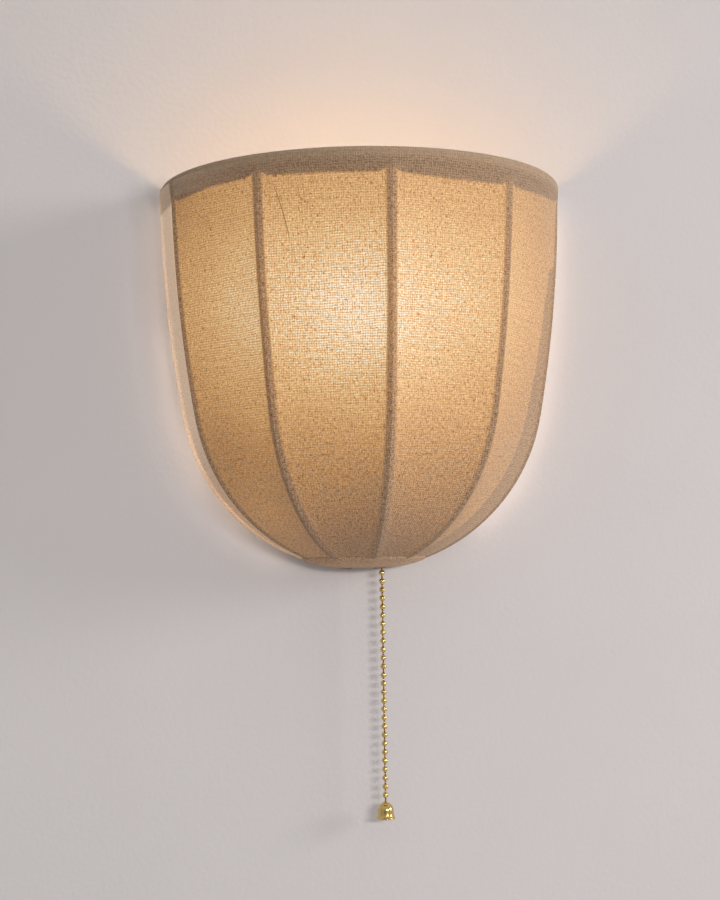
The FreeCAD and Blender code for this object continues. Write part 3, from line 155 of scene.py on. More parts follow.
class ShadeSettings(PropertyGroup):
    cloth: tint("Linen", "#B1967A")
    cloth_dark: tint("Linen in shade", "#66503B")
    thread_spacing: length("Thread spacing", 1.2, "From one thread of the plain weave to the next")
    cloth_wall: length("Cloth thickness", 0.6, "Thickness of the linen")
    glow: amount("Glow", 1.0, "Light that comes through the cloth")
    hem: length("Rim hem", 10.0, "Mean depth of the double cloth below the rim wire")


class ChainSettings(PropertyGroup):
    bead: length("Bead", 3.2, "Diameter of a chain bead")
    brass: tint("Brass", "#DCC17C")
    segments: IntProperty(name="Segments", description="Faces round a bead", default=28, min=8)


class StageSettings(PropertyGroup):
    wall: tint("Wall", "#CCCACB")
    floor: tint("Floor", "#D5D0CD")
    key: amount("Key light", 46.0, "Power of the large soft lamp at the right", "POWER")
    front: amount("Front light", 6.8, "Power of the low strip lamp in front", "POWER")
    fill: amount("Fill", 0.67, "Strength of the light from all round")
    bulb: amount("Bulb", 0.67, "Power of the bulb's light", "POWER")
    bulb_colour: tint("Bulb light", "#FFD08A")
    leak: amount("Leak", 0.026, "Power of the light that slips out beside the wall, per metre", "POWER")


# --- meshes

def quads(rows, columns, closed, start):
    """Faces of a grid of points, numbered row by row from start; a closed grid's rows are rings."""
    r, c = np.meshgrid(np.arange(rows - 1), np.arange(columns if closed else columns - 1), indexing="ij")
    here, beside = start + r * columns + c, start + r * columns + (c + 1) % columns
    return np.stack([here, beside, beside + columns, here + columns], axis=-1).reshape(-1, 4)


def add_piece(name, grids, slot, body="lamp", finish=None, replaces=(), wall=0.0, uv=None, values=None,
              merge=0.0):
    """Make a piece from grids of points in millimetres, each as (points, whether its rows are rings).

    Its material is its slot's own, unless another finish is given."""
    points, faces, start = [], [], 0
    for grid, closed in grids:
        rows, columns = grid.shape[:2]
        faces.append(quads(rows, columns, closed, start))
        points.append(grid.reshape(-1, 3))
        start += rows * columns
    points, faces = np.concatenate(points) * MM, np.concatenate(faces)
    mesh = bpy.data.meshes.new(name)
    mesh.from_pydata(points.tolist(), [], faces.tolist())
    for key, array in (values or {}).items():
        layer = mesh.attributes.new(key, "FLOAT", "POINT")
        layer.data.foreach_set("value", array.reshape(-1).astype(np.float32))
    if uv is not None:
        layer = mesh.uv_layers.new(name="cloth_mm")
        layer.data.foreach_set("uv", uv.reshape(-1, 2)[faces.reshape(-1)].astype(np.float32).reshape(-1))
    if merge:
        work = bmesh.new()
        work.from_mesh(mesh)
        bmesh.ops.remove_doubles(work, verts=work.verts, dist=merge * MM)
        bmesh.ops.recalc_face_normals(work, faces=work.faces)
        work.to_mesh(mesh)
        work.free()
    mesh.shade_smooth()
    item = bpy.data.objects.new(name, mesh)
    bpy.context.scene.collection.objects.link(item)
    if wall:
        solid = item.modifiers.new("cloth thickness", "SOLIDIFY")
        solid.thickness, solid.offset = wall * MM, 0.0
    mesh.materials.append(finish or finish_of(slot))
    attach(item, body)
    if replaces:
        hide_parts(*replaces)
    return item


def unit(vectors):
    """Vectors divided by their lengths."""
    return vectors / np.linalg.norm(vectors, axis=-1, keepdims=True)


def joined(*parts):
    """Arrays spread over each other and joined as coordinates."""
    return np.stack(np.broadcast_arrays(*parts), axis=-1)


def full_turn(count):
    """Angles of a whole turn in equal steps."""
    return np.linspace(0, 2 * pi, count, endpoint=False)


def rise(value, start, span):
    """0 up to start, then a straight rise to 1 over span."""
    return np.clip((value - start) / span, 0, 1)


def add_turned(name, profile, segments, body, slot, replaces, centre=CHAIN):
    """Make a solid of revolution: (radius, level) pairs carried round the vertical line through centre."""
    turn = full_turn(segments)
    radius, level = np.asarray(profile, float).T[..., None]
    grid = joined(centre[0] + radius * np.cos(turn), centre[1] + radius * np.sin(turn), level)
    add_piece(name, [(grid, True)], body=body, slot=slot, replaces=(replaces,), merge=SAME_POINT)


def arc_profile(centre, radius, start, end, count):
    """Points (radius, level) of an arc about (radius, level) centre, between two angles in degrees."""
    turn = np.radians(np.linspace(start, end, count))
    return joined(centre[0] + radius * np.cos(turn), centre[1] + radius * np.sin(turn))


def tube_along(path, normal, radius, around):
    """A tube round a path: radius is an array of path by around, and normal a vector at right angles to it."""
    tangent = unit(np.gradient(path, axis=0))
    side = unit(normal - tangent * np.sum(normal * tangent, axis=-1, keepdims=True))
    other = np.cross(tangent, side)
    turn = full_turn(around)[None, :, None]
    return path[:, None] + radius[..., None] * (side[:, None] * np.cos(turn) + other[:, None] * np.sin(turn))


# --- the shade's surfaces

def meridian(along):
    """The line of a rib: reach and level, and how far its outward direction goes out and up.

    It runs down the side's bow of radius SIDE for BOW_RUN, then round the dome of radius DOME."""
    on_bow = along < BOW_RUN
    turn = np.where(on_bow, along / SIDE - TOP_TURN, LEAN + (along - BOW_RUN) / DOME)
    radius = np.where(on_bow, SIDE, DOME)
    reach = radius * np.cos(turn) - np.where(on_bow, BOW_X, 0)
    level = np.where(on_bow, BOW_Z, 0) - radius * np.sin(turn)
    return reach, level, np.cos(turn), -np.sin(turn)


def run_to(reach):
    """Length of the rib's line from the rim down to a reach on the dome."""
    return BOW_RUN + DOME * (acos(reach / DOME) - LEAN)


def carrier(number):
    """Foot and horizontal direction of rib -2 to 2, or of the back wire's side, -3 or 3."""
    if abs(number) == 3:
        return np.array([0, -BACK_DEPTH, 0]), np.array([copysign(1, number), 0, 0])
    angle = radians(number * RIB_ANGLE)
    return np.array([0, -AXIS_DEPTH, 0]), np.array([sin(angle), -cos(angle), 0])


def carrier_line(number, along):
    """The middle of a carrier's wire, and its outward directions."""
    reach, level, out, up = (a[:, None] for a in meridian(along))
    foot, way = carrier(number)
    return foot + way * reach + UP * level, way * out + UP * up


def ring_point(number, across, reach, level):
    """Points at the rim's rounded line between carrier number and the next, scaled to reach.

    Between ribs it is a circle about the axis; beside the wall a quarter's rest and then a straight run."""
    if -3 < number < 2:
        turn = np.radians((number + across) * RIB_ANGLE)
        return joined(reach * np.sin(turn), -AXIS_DEPTH - reach * np.cos(turn), level)
    share = across if number == 2 else 1 - across
    first = radians(2 * RIB_ANGLE)
    curved = reach * (pi / 2 - first)
    spot = share * (curved + AXIS_DEPTH - BACK_DEPTH)
    turn = np.minimum(first + spot / reach, pi / 2)
    return joined(reach * np.sin(turn) * (1 if number == 2 else -1),
                  -AXIS_DEPTH - reach * np.cos(turn) + np.maximum(spot - curved, 0), level)


def panel_surface(number, across, along, lift):
    """A stretched panel from carrier number to the next, with its outward directions.

    Formula: the chord between the two carriers, drawn towards the rim's line by exp(-pi depth / width) near
    the rim and pulled in by SAG sin(pi share) lower down, each as a parabola, then lifted off the wires."""
    reach, level, out, up = (a[:, None] for a in meridian(along))
    a, b = (carrier_line(n, along)[0][:, None] for n in (number, number + 1))
    way_a, way_b = carrier(number)[1], carrier(number + 1)[1]
    u = across[:, None]
    normal = unit((way_a * (1 - u) + way_b * u) * out[..., None] + UP * up[..., None])
    chord = np.linalg.norm(b - a, axis=-1)
    held = np.exp((level - RIM_LEVEL) * pi / RIB_GAP)[..., None]
    share = np.clip(along / run_to(PLATE), 0, 1)[:, None]
    dip = SAG * chord / RIB_GAP * np.sin(pi * share)
    ring = ring_point(number, across, reach, level)
    flat = a + (b - a) * u
    points = ring * held + flat * (1 - held) - normal * (4 * u * (1 - u) * dip[..., None])
    points = points + normal * lift(chord * across, chord * (1 - across), along[:, None])[..., None]
    return points, normal, chord


def panel_lift(number):
    """How far a panel's cloth lies outside the wires' middle, by its distance from them and from the rim."""
    def lift(from_a, from_b, along):
        plain, ridge = 1.6, 0.6
        height = plain + 0 * from_a
        for distance, carried in ((from_a, number), (from_b, number + 1)):
            more = EDGE_ROLL - plain if abs(carried) == 3 else ridge
            height = height + more * np.exp(-(distance / 3) ** 2)
        return height + (RIM_ROLL - height) * np.exp(-(along / 7) ** 2)
    return lift


def turn_aside(points):
    """Turn about the shade's axis in degrees, 0 straight ahead and more than 0 to the right."""
    return np.degrees(np.arctan2(points[..., 0], -(points[..., 1] + AXIS_DEPTH)))


def glow_at(points):
    """Light that reaches the cloth from the bulb, 0 to 1.

    Formula: the level's own light times 1 less 0.55 times the square of the turn, from 6 degrees left, over 73
    degrees, with more beside the right wall edge and less beside the left, plus some low down and a spot."""
    x, y, z = np.moveaxis(points, -1, 0)
    aside = turn_aside(points)
    share = 1 - 0.55 * np.minimum(((aside + 6) / 73) ** 2, 1) + 0.3 * rise(aside, 74, 6)
    share = share - 0.5 * rise(-aside, 74, 4) - 0.06 * rise(aside, 40, 20) + 0.06 * rise(-aside, 36, 6)
    low = np.interp(z, LOW_LEVELS, LOW_GLOW) * np.clip(np.abs(aside) / 45, 0, 1.2) ** 2
    spot = np.exp(-((x + 14) ** 2 + (z - 24) ** 2) / (2 * 21.0 ** 2)) * (y < -60)
    return np.interp(z, GLOW_LEVELS, GLOW) * np.maximum(share, 0) + low + 0.17 * spot


def pale_at(points):
    """Share of pale light that the room and the wall throw on the cloth, by the turn aside and the level.

    It grows towards the right, more so low down. On the left it is faint low down, stronger on the hem and
    strongest beside the wall, where it fades towards the pole."""
    aside, z = turn_aside(points), points[..., 2]
    right = 0.2 * rise(aside, 38, 22) + 0.15 * rise(aside, 60, 8) + 0.14 * rise(-z, 15, 20) * rise(aside, 36, 6)
    low = 0.12 * rise(-z, 45, 30) * rise(-aside, 30, 10)
    hem = 0.34 * rise(z, 95, 3) * rise(-aside, 40, 20)
    left = (0.5 + 0.8 * rise(z, -65, 45)) * rise(-aside, 72, 4)
    return right + low + np.maximum(hem, left)


def double_cloth(number, across, along, from_a, from_b, hem):
    """How far inside the hem's doubled cloth, or the painted shade band beside the last rib on the right, a
    point lies; negative outside it.

    The hem's lower edge wanders and rises beside each rib, by 2.3 mm times exp(-(distance / 4 mm)^2)."""
    wander = np.interp(number + across, np.linspace(-3, 3, 13), HEM_WANDER)
    notch = 2.3 * (np.exp(-(from_a / 4) ** 2) + np.exp(-(from_b / 4) ** 2))
    inside = hem + wander - notch - along[:, None]
    if number == 1:
        # the band beside the last rib on the right takes the same painted shade as doubled cloth
        shade_band = np.interp(meridian(along)[1], SHADE_BAND_LEVELS, SHADE_BAND_WIDTHS)[:, None] - from_b
        inside = np.maximum(inside, np.minimum(shade_band, 0.2))
    return inside


def cloth_values(shape, **values):
    """What a piece of linen's points know, plain where it isn't given."""
    return {key: np.broadcast_to(values.get(key, plain), shape) for key, plain in CLOTH_VALUES.items()}


def roll_profile(radius, count, out, up):
    """Cloth rolled over a wire: half a circle, then the points turned in inside, and its length run so far."""
    roll = np.radians(np.linspace(0, 180, count))
    out = np.concatenate([radius * np.cos(roll), out])
    up = np.concatenate([radius * np.sin(roll), up])
    return out, up, np.concatenate([[0], np.cumsum(np.hypot(np.diff(out), np.diff(up)))])


# --- materials

def node(tree, kind, links=None, **settings):
    """Add a shader node, set its properties and unlinked sockets, and link the others."""
    item = tree.nodes.new("ShaderNode" + kind)
    for key, value in settings.items():
        setattr(item, key, value)
    for key, value in (links or {}).items():
        socket = item.inputs[key]
        if isinstance(value, bpy.types.NodeSocket):
            tree.links.new(value, socket)
        else:
            socket.default_value = value
    return item


def math_node(tree, operation, *values):
    """The result of one calculation on numbers or sockets."""
    return node(tree, "Math", dict(enumerate(values)), operation=operation).outputs[0]


def material(name, **values):
    """A new material with its main shader's own values, its tree and that shader."""
    item = bpy.data.materials.new(name)
    item.use_nodes = True
    shader = item.node_tree.nodes["Principled BSDF"]
    for key, value in values.items():
        shader.inputs[key.replace("_", " ")].default_value = value
    return item, item.node_tree, shader


def drive(tree, shader, **sockets):
    """Link results to the main shader's sockets."""
    for key, value in sockets.items():
        tree.links.new(value, shader.inputs[key.replace("_", " ")])


def mixed(tree, factor, a, b, blend="MIX"):
    """Two colours mixed by a factor."""
    return node(tree, "Mix", {"Factor": factor, 6: a, 7: b}, data_type="RGBA", blend_type=blend).outputs[2]


def ramp(tree, factor, *stops):
    """A colour ramp through (position, colour) stops."""
    item = node(tree, "ValToRGB", {"Fac": factor})
    marks = item.color_ramp.elements
    while len(marks) < len(stops):
        marks.new(1.0)
    for mark, (position, colour) in zip(marks, stops):
        mark.position, mark.color = position, tuple(colour)
    return item.outputs["Color"]


def noise(tree, vector, scale, detail, roughness=0.5):
    """Noise with a scale in features per unit of its vector."""
    values = {"Vector": vector, "Scale": scale, "Detail": detail, "Roughness": roughness}
    return node(tree, "TexNoise", values).outputs["Fac"]


def soft_step(tree, value, low, high):
    """0 below low, 1 above high, smooth between."""
    return node(tree, "MapRange", {"Value": value, "From Min": low, "From Max": high},
                interpolation_type="SMOOTHSTEP").outputs["Result"]


def between(tree, share, low, high):
    """A number from low to high, by a share."""
    return node(tree, "MapRange", {"Value": share, "To Min": low, "To Max": high}).outputs["Result"]


def stretched(tree, vector, scale):
    """A vector scaled by three numbers."""
    return node(tree, "Mapping", {"Vector": vector, "Scale": scale}).outputs["Vector"]


def bump(tree, shader, height, strength, distance):
    """Bump of a real height in millimetres."""
    item = node(tree, "Bump", {"Height": height, "Strength": strength, "Distance": distance * MM})
    drive(tree, shader, Normal=item.outputs["Normal"])


def cleared(tree, shader, share):
    """Let a share of the rays straight through."""
    clear = node(tree, "BsdfTransparent").outputs["BSDF"]
    both = node(tree, "MixShader", {0: share, 1: shader.outputs["BSDF"], 2: clear})
    tree.links.new(both.outputs[0], tree.nodes["Material Output"].inputs["Surface"])


def cloth_coordinates(tree):
    """Coordinates along the cloth, in millimetres."""
    return node(tree, "UVMap", uv_map="cloth_mm").outputs["UV"]


def surface_coordinates(tree):
    """Object coordinates turned into millimetres."""
    return stretched(tree, node(tree, "TexCoord").outputs["Object"], (1 / MM,) * 3)


def woven_linen():
    """Natural linen in plain weave, unbleached and undyed, with the light from behind painted in as glow.

    The eye sees uneven threads that cross every 1.2 mm, thicker slubs and dark bits of straw. Where the bulb
    shines through, gaps between threads are pale yellow and the threads orange. Painted shade from the ribs,
    the doubled cloth and the plate keeps seams and hems grey, and the rim's crest takes a painted highlight."""
    sizes = bpy.context.scene.wall_light_shade
    item, tree, shader = material("Woven linen", Roughness=0.92, Sheen_Weight=0.10, Sheen_Roughness=0.6,
                                  Specular_IOR_Level=0.25, Emission_Strength=1.0)
    spot = cloth_coordinates(tree)
    glow, pale, from_rib, doubled, plate, crest = (
        node(tree, "Attribute", attribute_name=name).outputs["Fac"] for name in CLOTH_VALUES)

    calculate = partial(math_node, tree)
    times, scaled = partial(calculate, "MULTIPLY"), partial(calculate, "MULTIPLY_ADD")

    def grain(x, y, detail, roughness):
        return noise(tree, stretched(tree, spot, (x, y, 1)), 1.0, detail, roughness)

    wobble = times(calculate("SUBTRACT", noise(tree, spot, 0.09, 3), 0.5), 2.4)
    axes = node(tree, "SeparateXYZ", {"Vector": spot}).outputs
    turns = 2 * pi / (sizes.thread_spacing / MM)
    cover = 0.0
    for axis, scale, weight in (("X", (0.7, 0.05), 0.8), ("Y", (0.05, 0.7), 1.2)):
        wave = scaled(calculate("COSINE", times(calculate("ADD", axes[axis], wobble), turns)), 0.5, 0.5)
        cover = scaled(wave, scaled(grain(*scale, 4, 0.75), 2.6 * weight, -0.3 * weight), cover)
    speckle = calculate("ADD", grain(1.5, 0.5, 3, 0.9), grain(0.5, 1.5, 3, 0.9))
    fleck = calculate("MAXIMUM", soft_step(tree, grain(0.85, 0.5, 2, 0.7), 0.59, 0.66),
                      soft_step(tree, grain(0.5, 0.3, 2, 0.6), 0.63, 0.70))
    # painted shadow of each rib and its binding seen through the cloth, slanting with the binding's turns
    hatch = calculate("SINE", times(calculate("ADD", axes["X"], axes["Y"]), 2 * pi / 1.7))
    rib = scaled(speckle, 1.2, calculate("SUBTRACT", scaled(hatch, 0.2, from_rib), 1.2))
    rib_shadow = calculate("SUBTRACT", 1.0, soft_step(tree, rib, 1.7, 3.2))
    double = soft_step(tree, scaled(speckle, 0.6, calculate("SUBTRACT", doubled, 0.6)), -0.9, 0.9)
    # painted shade: the ribs' shadows, the doubled cloth and the plate cut the light through the cloth
    shut = calculate("MAXIMUM", calculate("MAXIMUM", times(rib_shadow, 0.78), times(double, 0.86)), plate)
    passed = scaled(cover, -0.46, 1.45)
    for part, factor, rest in ((speckle, -1.25, 2.25), (noise(tree, spot, 0.03, 3), 0.22, 0.89),
                               (fleck, -0.38, 1.0)):
        passed = times(passed, scaled(part, factor, rest))
    light = times(times(glow, passed), calculate("SUBTRACT", 1.0, shut))
    colour = ramp(tree, times(light, sizes.glow), *GLOW_COLOURS)
    colour = mixed(tree, times(fleck, 0.75), colour, FLECK_LIGHT, "MULTIPLY")
    # the room's painted light on the cloth, halved on doubled cloth and cut by the ribs' painted shadows
    thrown = times(times(pale, scaled(double, -0.5, 1.0)), scaled(rib_shadow, -0.95, 1.0))
    warm = mixed(tree, times(thrown, scaled(cover, -0.1, 0.6)), BLACK, ROOM_LIGHT)
    body = mixed(tree, scaled(speckle, 3.6, scaled(cover, -0.34, -2.9)), sizes.cloth, sizes.cloth_dark)
    # flecks: dark bits of straw; doubled cloth: painted shade; the rim's crest: a painted highlight
    for part, share, code in ((fleck, 0.6, "#6A533F"), (double, 0.26, "#7E705F"), (crest, 0.34, "#C6AC8C")):
        body = mixed(tree, times(part, share), body, linear(code))
    drive(tree, shader, Emission_Color=mixed(tree, 1.0, colour, warm, "ADD"), Base_Color=body)
    bump(tree, shader, calculate("SUBTRACT", cover, speckle), 0.7, 0.25)
    return item


def binding_linen():
    """A strip of the same linen wound round a wire: a flat, matt weave whose turns overlap in a slant."""
    item, tree, shader = material("Binding linen", Roughness=0.95, Sheen_Weight=0.15)
    fine = noise(tree, stretched(tree, cloth_coordinates(tree), (1.6, 1.6, 1)), 1.0, 3)
    drive(tree, shader, Base_Color=mixed(tree, fine, linear("#BBA791"), linear("#94806B")))
    bump(tree, shader, fine, 0.5, 0.1)
    return item


def coated(name, code, worn, roughness, grain, relief, **values):
    """A material with a fine grain: two close colours mixed by noise, and the same noise as relief."""
    item, tree, shader = material(name, Roughness=roughness, **values)
    spot = surface_coordinates(tree)
    fine, broad = noise(tree, spot, grain, 3), noise(tree, spot, 0.06, 2)
    mix = math_node(tree, "MULTIPLY_ADD", fine, 0.5, math_node(tree, "MULTIPLY", broad, 0.5))
    drive(tree, shader, Base_Color=mixed(tree, mix, linear(code), linear(worn)),
          Roughness=between(tree, broad, roughness - 0.06, roughness + 0.08))
    bump(tree, shader, fine, 0.35, relief)
    return item


def polished_brass():
    """Brass pressed and tumbled bright: yellow mirror reflections with a faint brown lacquer in its hollows."""
    item, tree, shader = material("Polished brass", Metallic=1.0, Roughness=0.16)
    spot = surface_coordinates(tree)
    stain = soft_step(tree, noise(tree, spot, 0.9, 4), 0.45, 0.75)
    brass = bpy.context.scene.wall_light_chain.brass
    drive(tree, shader, Roughness=between(tree, stain, 0.17, 0.26),
          Base_Color=mixed(tree, math_node(tree, "MULTIPLY", stain, 0.4), brass, linear("#A18342")))
    bump(tree, shader, noise(tree, spot, 1.2, 2), 0.06, 0.03)
    return item


def clear_glass():
    """Blown soda-lime glass, thin and clear; light from inside goes straight through it."""
    item, tree, shader = material("Clear glass", Roughness=0.02, IOR=1.5, Transmission_Weight=1.0)
    uneven = noise(tree, surface_coordinates(tree), 0.05, 2)
    drive(tree, shader, Base_Color=mixed(tree, uneven, linear("#FFFFFF"), linear("#F4F6F2")))
    cleared(tree, shader, node(tree, "LightPath").outputs["Is Shadow Ray"])
    return item


def glowing(name, roughness, strength, grain, detail, code, other):
    """A material that glows in two close colours mixed by noise."""
    item, tree, shader = material(name, Roughness=roughness, Emission_Strength=strength)
    tone = mixed(tree, noise(tree, surface_coordinates(tree), grain, detail), linear(code), linear(other))
    drive(tree, shader, Base_Color=tone, Emission_Color=tone)
    return item


FINISHES = {
    # Wire dipped in white paint: smooth and half gloss, a little yellowed by warmth.
    "white_wire": lambda: coated("Painted wire", "#E9E4D8", "#D9D2C2", 0.42, 0.8, 0.04),
    # Pressed steel under baked white enamel: even and half gloss, with a very fine orange peel.
    "white_enamel": lambda: coated("Baked enamel", "#E8E5DE", "#DEDAD1", 0.32, 0.5, 0.03, Coat_Weight=0.3),
    # Zinc-plated steel: pale bluish grey, spangled, half dull.
    "zinc_steel": lambda: coated("Zinc plated steel", "#B4B7BA", "#969A9E", 0.38, 0.35, 0.03, Metallic=1.0),
    # Moulded white polyamide: soft gloss with a light mould grain.
    "white_plastic": lambda: coated("Moulded polyamide", "#E6E2DA", "#DAD5CB", 0.45, 2.0, 0.03),
    # Fired porcelain under a clear glaze: white, wet gloss over a slightly wavy body.
    "ceramic": lambda: coated("Glazed porcelain", "#EFECE6", "#E4E0D8", 0.18, 0.15, 0.05, Coat_Weight=0.5),
    # Black vitrified glass in the foot of the cap: glossy and dark.
    "black_glass": lambda: coated("Black glass", "#141312", "#1F1D1B", 0.12, 0.8, 0.02),
    # Soft PVC round copper strands: smooth, half matt.
    "lead_sleeve": lambda: coated("Wire insulation", "#C4AE95", "#B39D84", 0.5, 1.5, 0.02),
    # Filament sticks of small diodes under yellow phosphor: an even warm glow.
    "filament": lambda: glowing("Glowing filament", 0.5, 6.0, 1.2, 1, "#FFE2B0", "#FFC878"),
    "brass": polished_brass,
    "clear_glass": clear_glass,
    "shade_cloth": woven_linen,
    "binding_cloth": binding_linen,
}
made = {}


def finish_of(slot):
    """The material of one of the record's slots, made the first time it is asked for."""
    if slot not in made:
        made[slot] = FINISHES[slot]()
    return made[slot]


# --- pieces

class PieceOperator:
    bl_options = {"REGISTER", "UNDO"}

    def execute(self, context):
        self.make(context.scene)
        return {"FINISHED"}


class WALL_LIGHT_OT_shade_panels(PieceOperator, Operator):
    """Six stretched linen panels from wire to wire"""
    bl_idname = "wall_light.shade_panels"
    bl_label = "Shade panels"

    def make(self, scene):
        sizes = scene.wall_light_shade
        across = (0.5 - 0.5 * np.cos(np.linspace(0, pi, 41)))[::-1]
        along = np.concatenate([np.linspace(0, 14, 15), np.linspace(16, run_to(14), 104)])
        for number in range(-3, 3):
            grid, _, chord = panel_surface(number, across, along, panel_lift(number))
            from_a = np.where(number == -3, FAR, chord * across)
            from_b = np.where(number == 2, FAR, chord * (1 - across))
            reach = np.hypot(grid[..., 0], grid[..., 1] + AXIS_DEPTH)
            # painted light from the bulb and the room, the plate's painted shade and a painted highlight on the
            # crest
            values = cloth_values(
                grid.shape[:2], glow=glow_at(grid), pale=pale_at(grid), from_rib=np.minimum(from_a, from_b),
                double=double_cloth(number, across, along, from_a, from_b, sizes.hem / MM),
                plate=np.where(grid[..., 2] < 0, 1 - rise(reach, PLATE, 5), 0),
                crest=np.exp(-(along[:, None] / 2.4) ** 2))
            item = add_piece(f"shade_panel_{number + 4}", [(grid, False)], slot="shade_cloth",
                             replaces=(f"panel_{number + 4}",), wall=sizes.cloth_wall / MM,
                             uv=joined((across - 0.5) * chord, -along[:, None]), values=values)


def sewn(name, grid, uv, replaces, scene, values):
    """A narrow piece of linen folded over a wire."""
    item = add_piece(name, [(grid, False)], slot="binding_cloth", finish=finish_of("shade_cloth"),
                     replaces=(replaces,), wall=scene.wall_light_shade.cloth_wall / MM, uv=uv, values=values)


class WALL_LIGHT_OT_rim_band(PieceOperator, Operator):
    """The linen rolled over the rim wire, with its facing inside"""
    bl_idname = "wall_light.rim_band"
    bl_label = "Rim band"

    def make(self, scene):
        run = AXIS_DEPTH - WALL_END
        half = RIM * pi / 2
        spot = np.concatenate([[-half - run], np.linspace(-half, half, 181), [half + run]])
        turn = np.clip(spot / RIM, -pi / 2, pi / 2)
        way = joined(np.sin(turn), -np.cos(turn), 0.0)
        past = np.maximum(np.abs(spot) - half, 0)
        line = way * RIM + joined(0.0, past - AXIS_DEPTH, RIM_LEVEL)
        count = 17
        out, up, steps = roll_profile(RIM_ROLL, count, np.append(np.linspace(-2.5, 0.4, 5), [0.5] * 5),
                                      np.append(np.linspace(-1, -4.5, 5), np.linspace(-5.2, -9.8, 5)))
        # the facing inside keeps within the panels' chords and sag
        bend = radians(RIB_ANGLE)
        between_ribs = np.abs(turn) < 2 * bend
        share = np.where(between_ribs, np.mod(turn / bend, 1),
                         (np.abs(spot) - 2 * bend * RIM) / (half + run - 2 * bend * RIM))
        arch = 4 * share * (1 - share)
        chord = np.where(between_ribs, RIM * (1 - cos(bend / 2) / np.cos((share - 0.5) * bend)), 1.55 * arch)
        sag = SAG * np.where(between_ribs, 1, 0.56) * arch
        depth = np.maximum(-up, 0)[:, None]
        inset = chord * (1 - np.exp(-depth * pi / RIB_GAP)) + sag * np.sin(pi * depth / run_to(PLATE))
        grid = line + way * (out[:, None] - inset)[..., None] + UP * up[:, None, None]
        # a little painted light, the doubled cloth's painted shade and a painted highlight on the rolled crest
        values = cloth_values(grid.shape[:2], glow=0.15 * glow_at(grid), double=ALL_DOUBLE,
                              crest=(np.arange(len(out)) < count)[:, None])
        sewn("rim_band", grid, joined(spot, steps[:, None]), "rim_hem", scene, values)


class WALL_LIGHT_OT_wall_edges(PieceOperator, Operator):
    """The linen rolled round the back wire on both sides"""
    bl_idname = "wall_light.wall_edges"
    bl_label = "Wall edges"

    def make(self, scene):
        along = np.linspace(0, run_to(6), 121)
        to_wall = np.array([0, 1.0, 0])
        out, back, steps = roll_profile(EDGE_ROLL, 13, np.append(np.linspace(-1.9, 0.2, 4), [0.3, 0.3]),
                                        np.append(np.linspace(-1, -3.4, 4), [-4.4, -5.5]))
        for side, name in ((-1, "left"), (1, "right")):
            line, normal = carrier_line(3 * side, along)
            grid = line[:, None] + normal[:, None] * out[:, None] + to_wall * back[:, None]
            grid, uv = grid[:, ::side], joined(steps, along[:, None])[:, ::side]
            # a little painted light and the doubled cloth's painted shade
            values = cloth_values(grid.shape[:2], glow=0.2 * glow_at(grid), double=ALL_DOUBLE)
            sewn(f"wall_edge_{name}", grid, uv, f"edge_hem_{name}", scene, values)


class WALL_LIGHT_OT_rib_sleeves(PieceOperator, Operator):
    """Linen strips wound round the five ribs"""
    bl_idname = "wall_light.rib_sleeves"
    bl_label = "Rib sleeves"

    def make(self, scene):
        bare, strip, lap_pitch, around, cloth = 1.58, 0.24, 5.0, 20, 0.12
        along = np.linspace(3, run_to(PLATE), 241)
        turn = np.linspace(0, 1, around, endpoint=False)
        lap = np.mod(along[:, None] / lap_pitch + turn, 1.0)
        radius = bare + strip * (1 - np.exp(-lap * 12)) * (1 - 0.4 * lap)
        for number in range(-2, 3):
            path, normal = carrier_line(number, along)
            item = add_piece(f"rib_sleeve_{number + 3}", [(tube_along(path, normal, radius, around), True)],
                             slot="binding_cloth", replaces=(f"rib_binding_{number + 3}",),
                             uv=joined(turn * 11, along[:, None]), wall=cloth)


def straightness(flat):
    """How far a straight chord between two ribs lies inside the circle through them, as a factor."""
    half = radians(RIB_ANGLE) / 2
    turn = np.arctan2(flat[..., 0], -flat[..., 1])
    within = np.mod(turn, 2 * half) - half
    return np.where(np.abs(turn) < 4 * half, cos(half) / np.cos(within), 1.0)


class WALL_LIGHT_OT_pole_patch(PieceOperator, Operator):
    """A round patch that covers the panels' ends under the pole"""
    bl_idname = "wall_light.pole_patch"
    bl_label = "Pole patch"

    def make(self, scene):
        hole_radius, patch_radius, wall_gap, middle_level = 3.6, 34.0, 1.8, -96.3
        turn = full_turn(120)
        share = np.linspace(0, 1, 30)[:, None]
        way = joined(np.cos(turn), np.sin(turn))
        hole = np.array([CHAIN[0], CHAIN[1] + AXIS_DEPTH]) + hole_radius * way
        rim = patch_radius * way
        rim = rim * straightness(rim)[:, None]
        rim[:, 1] = np.minimum(rim[:, 1], AXIS_DEPTH - wall_gap)
        flat = hole + (rim - hole) * share[..., None]
        span = np.hypot(flat[..., 0], flat[..., 1]) / straightness(flat)
        level = middle_level + 6.1 * (span / 36) ** 3.4 + 0.6 * rise(share, 0.9, 0.1) ** 2
        grid = joined(flat[..., 0], flat[..., 1] - AXIS_DEPTH, level)
        values = cloth_values(grid.shape[:2], glow=0.05,
                              pale=0.24 - 0.14 * rise(share, 0.72, 0.2) + 0.16 * rise(flat[..., 0], 5, 25))
        item = add_piece("pole_patch", [(grid, True)], slot="binding_cloth",
                         finish=finish_of("shade_cloth"), replaces=("bottom_patch",), wall=0.5,
                         uv=flat, values=values)


def bead_profile(first, count, top, foot, bead):
    """Profile of a bead chain: round beads with small mouths, joined by the thin shanks of dog-bone links."""
    link, mouth = 0.42, 0.12
    points = [(0.0, top), (link, top)]
    for n in range(count):
        ring = arc_profile((0, first - n * BEAD_PITCH), bead / 2, 72, -72, 15)
        points += [(link, ring[0][1] - mouth), *ring.tolist(), (link, ring[-1][1] + mouth)]
    return points + [(link, foot), (0.0, foot)]


